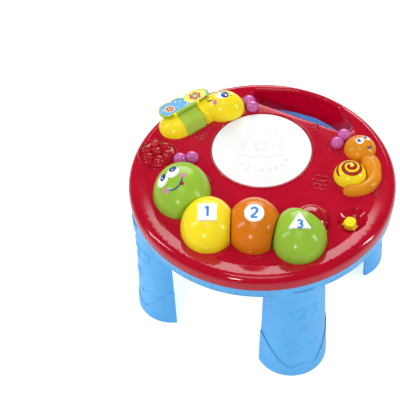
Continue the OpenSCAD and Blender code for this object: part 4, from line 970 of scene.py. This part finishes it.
def makeWing():
    inset, width, rise, taper = wingPrint["edge"]
    half = wing["thickness"] / 2
    edge = wingOutline(inset)
    edge = np.concatenate([edge, edge[:1]])
    path = wingPlace(edge[:, 0], edge[:, 1], np.full(len(edge), half))
    normal = wingPlace(edge[:, 0], edge[:, 1], np.full(len(edge), 1 + half)) - path
    (cx, cy), (a, b) = wing["lobe"]
    lobe = ellipse(a, b, 0, 60) + np.array([cx, cy])
    x, y = cx * 1000, cy * 1000
    spot = wingPrint["round"]
    layers = {
        # piece: shape, slot, finish
        "wingBorder": (strokeShape(path, normal, width, rise, taper), "green_plastic", "leafGreen"),
        "wingField": (wingPatch(wingOutline(wing["border"]), wingPrint["fieldLift"]), "green_plastic",
                      "printField"),
        "wingLobe": (wingPatch(lobe, wingPrint["lobeLift"]), "yellow_plastic", "sunYellow"),
        "wingPetals": (wingRing(x, y, *wingPrint["petals"]), "white_plastic", "printRed"),
        "wingPinks": (wingRing(x, y, *wingPrint["hearts"]), "white_plastic", "printPink"),
        "wingButton": (wingDisc(x, y, *wingPrint["button"]), "green_plastic", "leafGreen"),
        "wingDots": (joined([wingDisc(*dot, wingPrint["dotLift"]) for dot in wingPrint["dots"]]),
                     "white_plastic", "printWhite"),
        "wingRound": (wingDisc(*spot, *wingPrint["roundOuter"]), "yellow_plastic", "printCream"),
        "wingRoundInner": (wingDisc(*spot, *wingPrint["roundInner"]), "white_plastic", "printRed"),
        "wingRoundStar": (wingStar(*spot, wingPrint["starReach"]), "yellow_plastic", "printCream"),
    }
    for name, (shape, slot, look) in layers.items():
        makePiece(name, shape, "wing", look, 60)


makeWing()
print("table: wing printed")


legForm = {"place": 0.120, "foot": 0.043, "slope": 0.0055 / 0.1616, "rise": 0.0010, "stroke": 0.0026,
           "lift": 0.00005, "digitTaper": 0.08, "lineTaper": 0.15, "digit": 19}
legMarks = {
    # leg: its angle, places of the digits 1, 2 and 3 [phi, z mm], lines [phi, z mm] ...
    "leg_front_right": (-45, [(-20.4, 114.7), (-1.0, 118.5), (22.0, 119.5)],
                        [[(-10.5, 80.6), (-3, 88.0), (6.4, 94.3), (10, 86), (13.5, 77.4)],
                         [(-31.2, 61.2), (-20, 62.6), (-10.1, 62.5), (-6.4, 56.4)],
                         [(9.8, 58.2), (20, 57.6), (31.2, 59.3)]]),
    "leg_front_left": (-135, [(-14.0, 116.0), (7.0, 114.0), (30.0, 113.0)],
                       [[(-6, 78), (-2, 70), (8, 80), (13, 70), (19, 76)], [(57, 52), (70, 55), (84, 56)],
                        [(12, 48), (17, 42), (26, 46)]]),
    "leg_back_left": (135, [(-20.0, 115.0), (0.0, 118.0), (21.0, 118.0)],
                      [[(-10, 80), (6, 92), (14, 78)], [(-30, 61), (-18, 62), (-8, 58)]]),
    "leg_back_right": (45, [(-20.0, 115.0), (0.0, 118.0), (21.0, 118.0)],
                       [[(-10, 80), (6, 92), (14, 78)], [(10, 58), (20, 57), (31, 59)]]),
}


def onLeg(angle, phi, z, lift):
    # a cone about the leg's own upright axis, phi from the outward direction
    a = math.radians(angle)
    q = a + np.radians(phi)
    r = legForm["foot"] - legForm["slope"] * z + lift
    x = legForm["place"] * math.cos(a) + r * np.cos(q)
    y = legForm["place"] * math.sin(a) + r * np.sin(q)
    return np.stack([x, y, z], -1)


def legStroke(angle, phi, z, taper):
    path = onLeg(angle, phi, z, legForm["lift"])
    normals = onLeg(angle, phi, z, 1.0) - onLeg(angle, phi, z, 0.0)
    return strokeShape(path, normals, legForm["stroke"], legForm["rise"], taper)


def makeLegMarks():
    for node, (angle, places, lines) in legMarks.items():
        parts = []
        for digit, (phi, z) in zip("123", places):
            for line in digitLines[digit]:
                flat = smoothPath(np.array(line) * legForm["digit"] / 1000, 30)
                height = z / 1000 + flat[:, 1]
                turn = phi + np.degrees(flat[:, 0] / (legForm["foot"] - legForm["slope"] * height))
                parts.append(legStroke(angle, turn, height, legForm["digitTaper"]))
        for line in lines:
            flat = smoothPath(np.array(line), 10 * len(line))
            parts.append(legStroke(angle, flat[:, 0], flat[:, 1] / 1000, legForm["lineTaper"]))
        makePiece(node + ".marks", joined(parts), node, "skyBlue", 60)


makeLegMarks()
print("table: marks on the legs")


reliefs = {
    # flowers moulded in the deck: x, y, size in mm
    "flowers": [(67, 23, 12), (20.5, 101, 6.5), (-95, 23, 8), (132, 38, 5)],
    # ovals drawn round what stands on the deck: x, y, half sizes, turn, from and to in degrees
    "arcs": [(83, -37, 23.6, 23.6, 0, -50, 150), (-18, -99.5, 35.4, 41.6, 27.6, 55, 100),
             (30, -76, 35.4, 41.6, 27.6, 62, 112), (-71, -68, 37.6, 43.2, 27.6, 20, 75),
             (-129, -27, 24.0, 24.0, 0, 0, 360), (93.5, 48, 23.4, 23.4, 0, 185, 262),
             (60, 90, 14.5, 14.5, 0, 150, 300)],
    # a flower's petals: how far out, radius, and the radius of its middle, as shares of its size
    "flower": (0.64, 0.34, 0.22),
    "width": 0.0013, "rise": 0.0007, "lift": 0.00004,
}


def upStroke(path, form, taper):
    # a stroke on a surface that faces up
    return strokeShape(path, np.tile([0.0, 0.0, 1.0], (len(path), 1)), form["width"], form["rise"], taper)


def deckStroke(x, y, taper):
    # x and y in mm
    p = np.stack([x / 1000, y / 1000], -1)
    return upStroke(np.c_[p, deckHeight(p) + reliefs["lift"]], reliefs, taper)


def deckRound(x, y, radius):
    t = np.linspace(0, 2 * np.pi, 26)
    return deckStroke(x + radius * np.cos(t), y + radius * np.sin(t), 0.01)


def makeReliefs():
    parts = []
    reach, petal, heart = reliefs["flower"]
    for x, y, size in reliefs["flowers"]:
        for k in range(6):
            q = math.radians(60 * k + 15)
            cx, cy = x + size * reach * math.cos(q), y + size * reach * math.sin(q)
            parts.append(deckRound(cx, cy, size * petal))
        parts.append(deckRound(x, y, size * heart))
    for x, y, a, b, turn, low, high in reliefs["arcs"]:
        t = np.radians(np.linspace(low, high, 90))
        p = flatTurned(a * np.cos(t), b * np.sin(t), (x, y), turn)
        parts.append(deckStroke(p[:, 0], p[:, 1], 0.06))
    makePiece("deckReliefs", joined(parts), "case", "redCover", 60)


makeReliefs()
print("table: deck reliefs made")


drumMarks = {"centre": (-0.020, 0.0385), "radius": 0.0602, "crown": 0.0008, "foot": 0.1902, "turn": 28,
             "width": 0.0017, "rise": 0.00045, "lift": 0.00003,
             # in mm: the star's reach at points and notches and its place, the notes' places and sides,
             # their heads' half sizes and flags, the rounds' ring, radius, first angle and step, the wave
             "star": (9.5, 4.4), "starPlace": 6,
             "notes": [(-24, 4, 1), (22, 6, -1), (-13, 24, 1), (14, 24, 1)], "noteHead": (2.6, 2.0),
             "noteFlag": 5.5, "rounds": (34, 1.7, -150, 15),
             "wave": [(-30, -12), (-20, -8), (-10, -14), (0, -9), (10, -14), (20, -8), (30, -12)]}


def drumStroke(points, taper=0.05, smooth=True):
    points = np.array(points, float)
    flat = (smoothPath(points, 12 * len(points)) if smooth else points) / 1000
    p = turned(np.c_[flat, np.zeros(len(flat))], drumMarks["turn"], (*drumMarks["centre"], 0))
    share = np.hypot(flat[:, 0], flat[:, 1]) / drumMarks["radius"]
    p[:, 2] = drumMarks["foot"] + drumMarks["crown"] * (1 - share ** 2) + drumMarks["lift"]
    return upStroke(p, drumMarks, taper)


def drumRound(x, y, a, b):
    t = np.linspace(0, 2 * np.pi, 121)
    return drumStroke(np.stack([x + a * np.cos(t), y + b * np.sin(t)], -1), 0.01, False)


def makeDrumMarks():
    # a star in the middle, notes to its sides, a wave and a row of small rounds under them
    t = np.linspace(0, 2 * np.pi, 121)
    far, near = drumMarks["star"]
    star = np.interp((t * 5 / (2 * np.pi)) % 1, [0, 0.5, 1], [far, near, far])
    outline = np.stack([star * np.sin(t), drumMarks["starPlace"] + star * np.cos(t)], -1)
    parts = [drumStroke(outline, 0.005, False)]
    a, b = drumMarks["noteHead"]
    for x, y, side in drumMarks["notes"]:
        parts.append(drumRound(x, y, a, b))
        flag = drumMarks["noteFlag"] * side
        parts.append(drumStroke([(x + a, y), (x + a, y + 6), (x + a, y + 11), (x + flag + a, y + 8)]))
    reach, radius, start, step = drumMarks["rounds"]
    for k in range(9):
        q = math.radians(start + k * step)
        parts.append(drumRound(reach * math.cos(q), reach * math.sin(q), radius, radius))
    parts.append(drumStroke(drumMarks["wave"]))
    makePiece("drumMarks", joined(parts), "drum", "milkWhite", 60)


makeDrumMarks()
print("table: drum marks made")
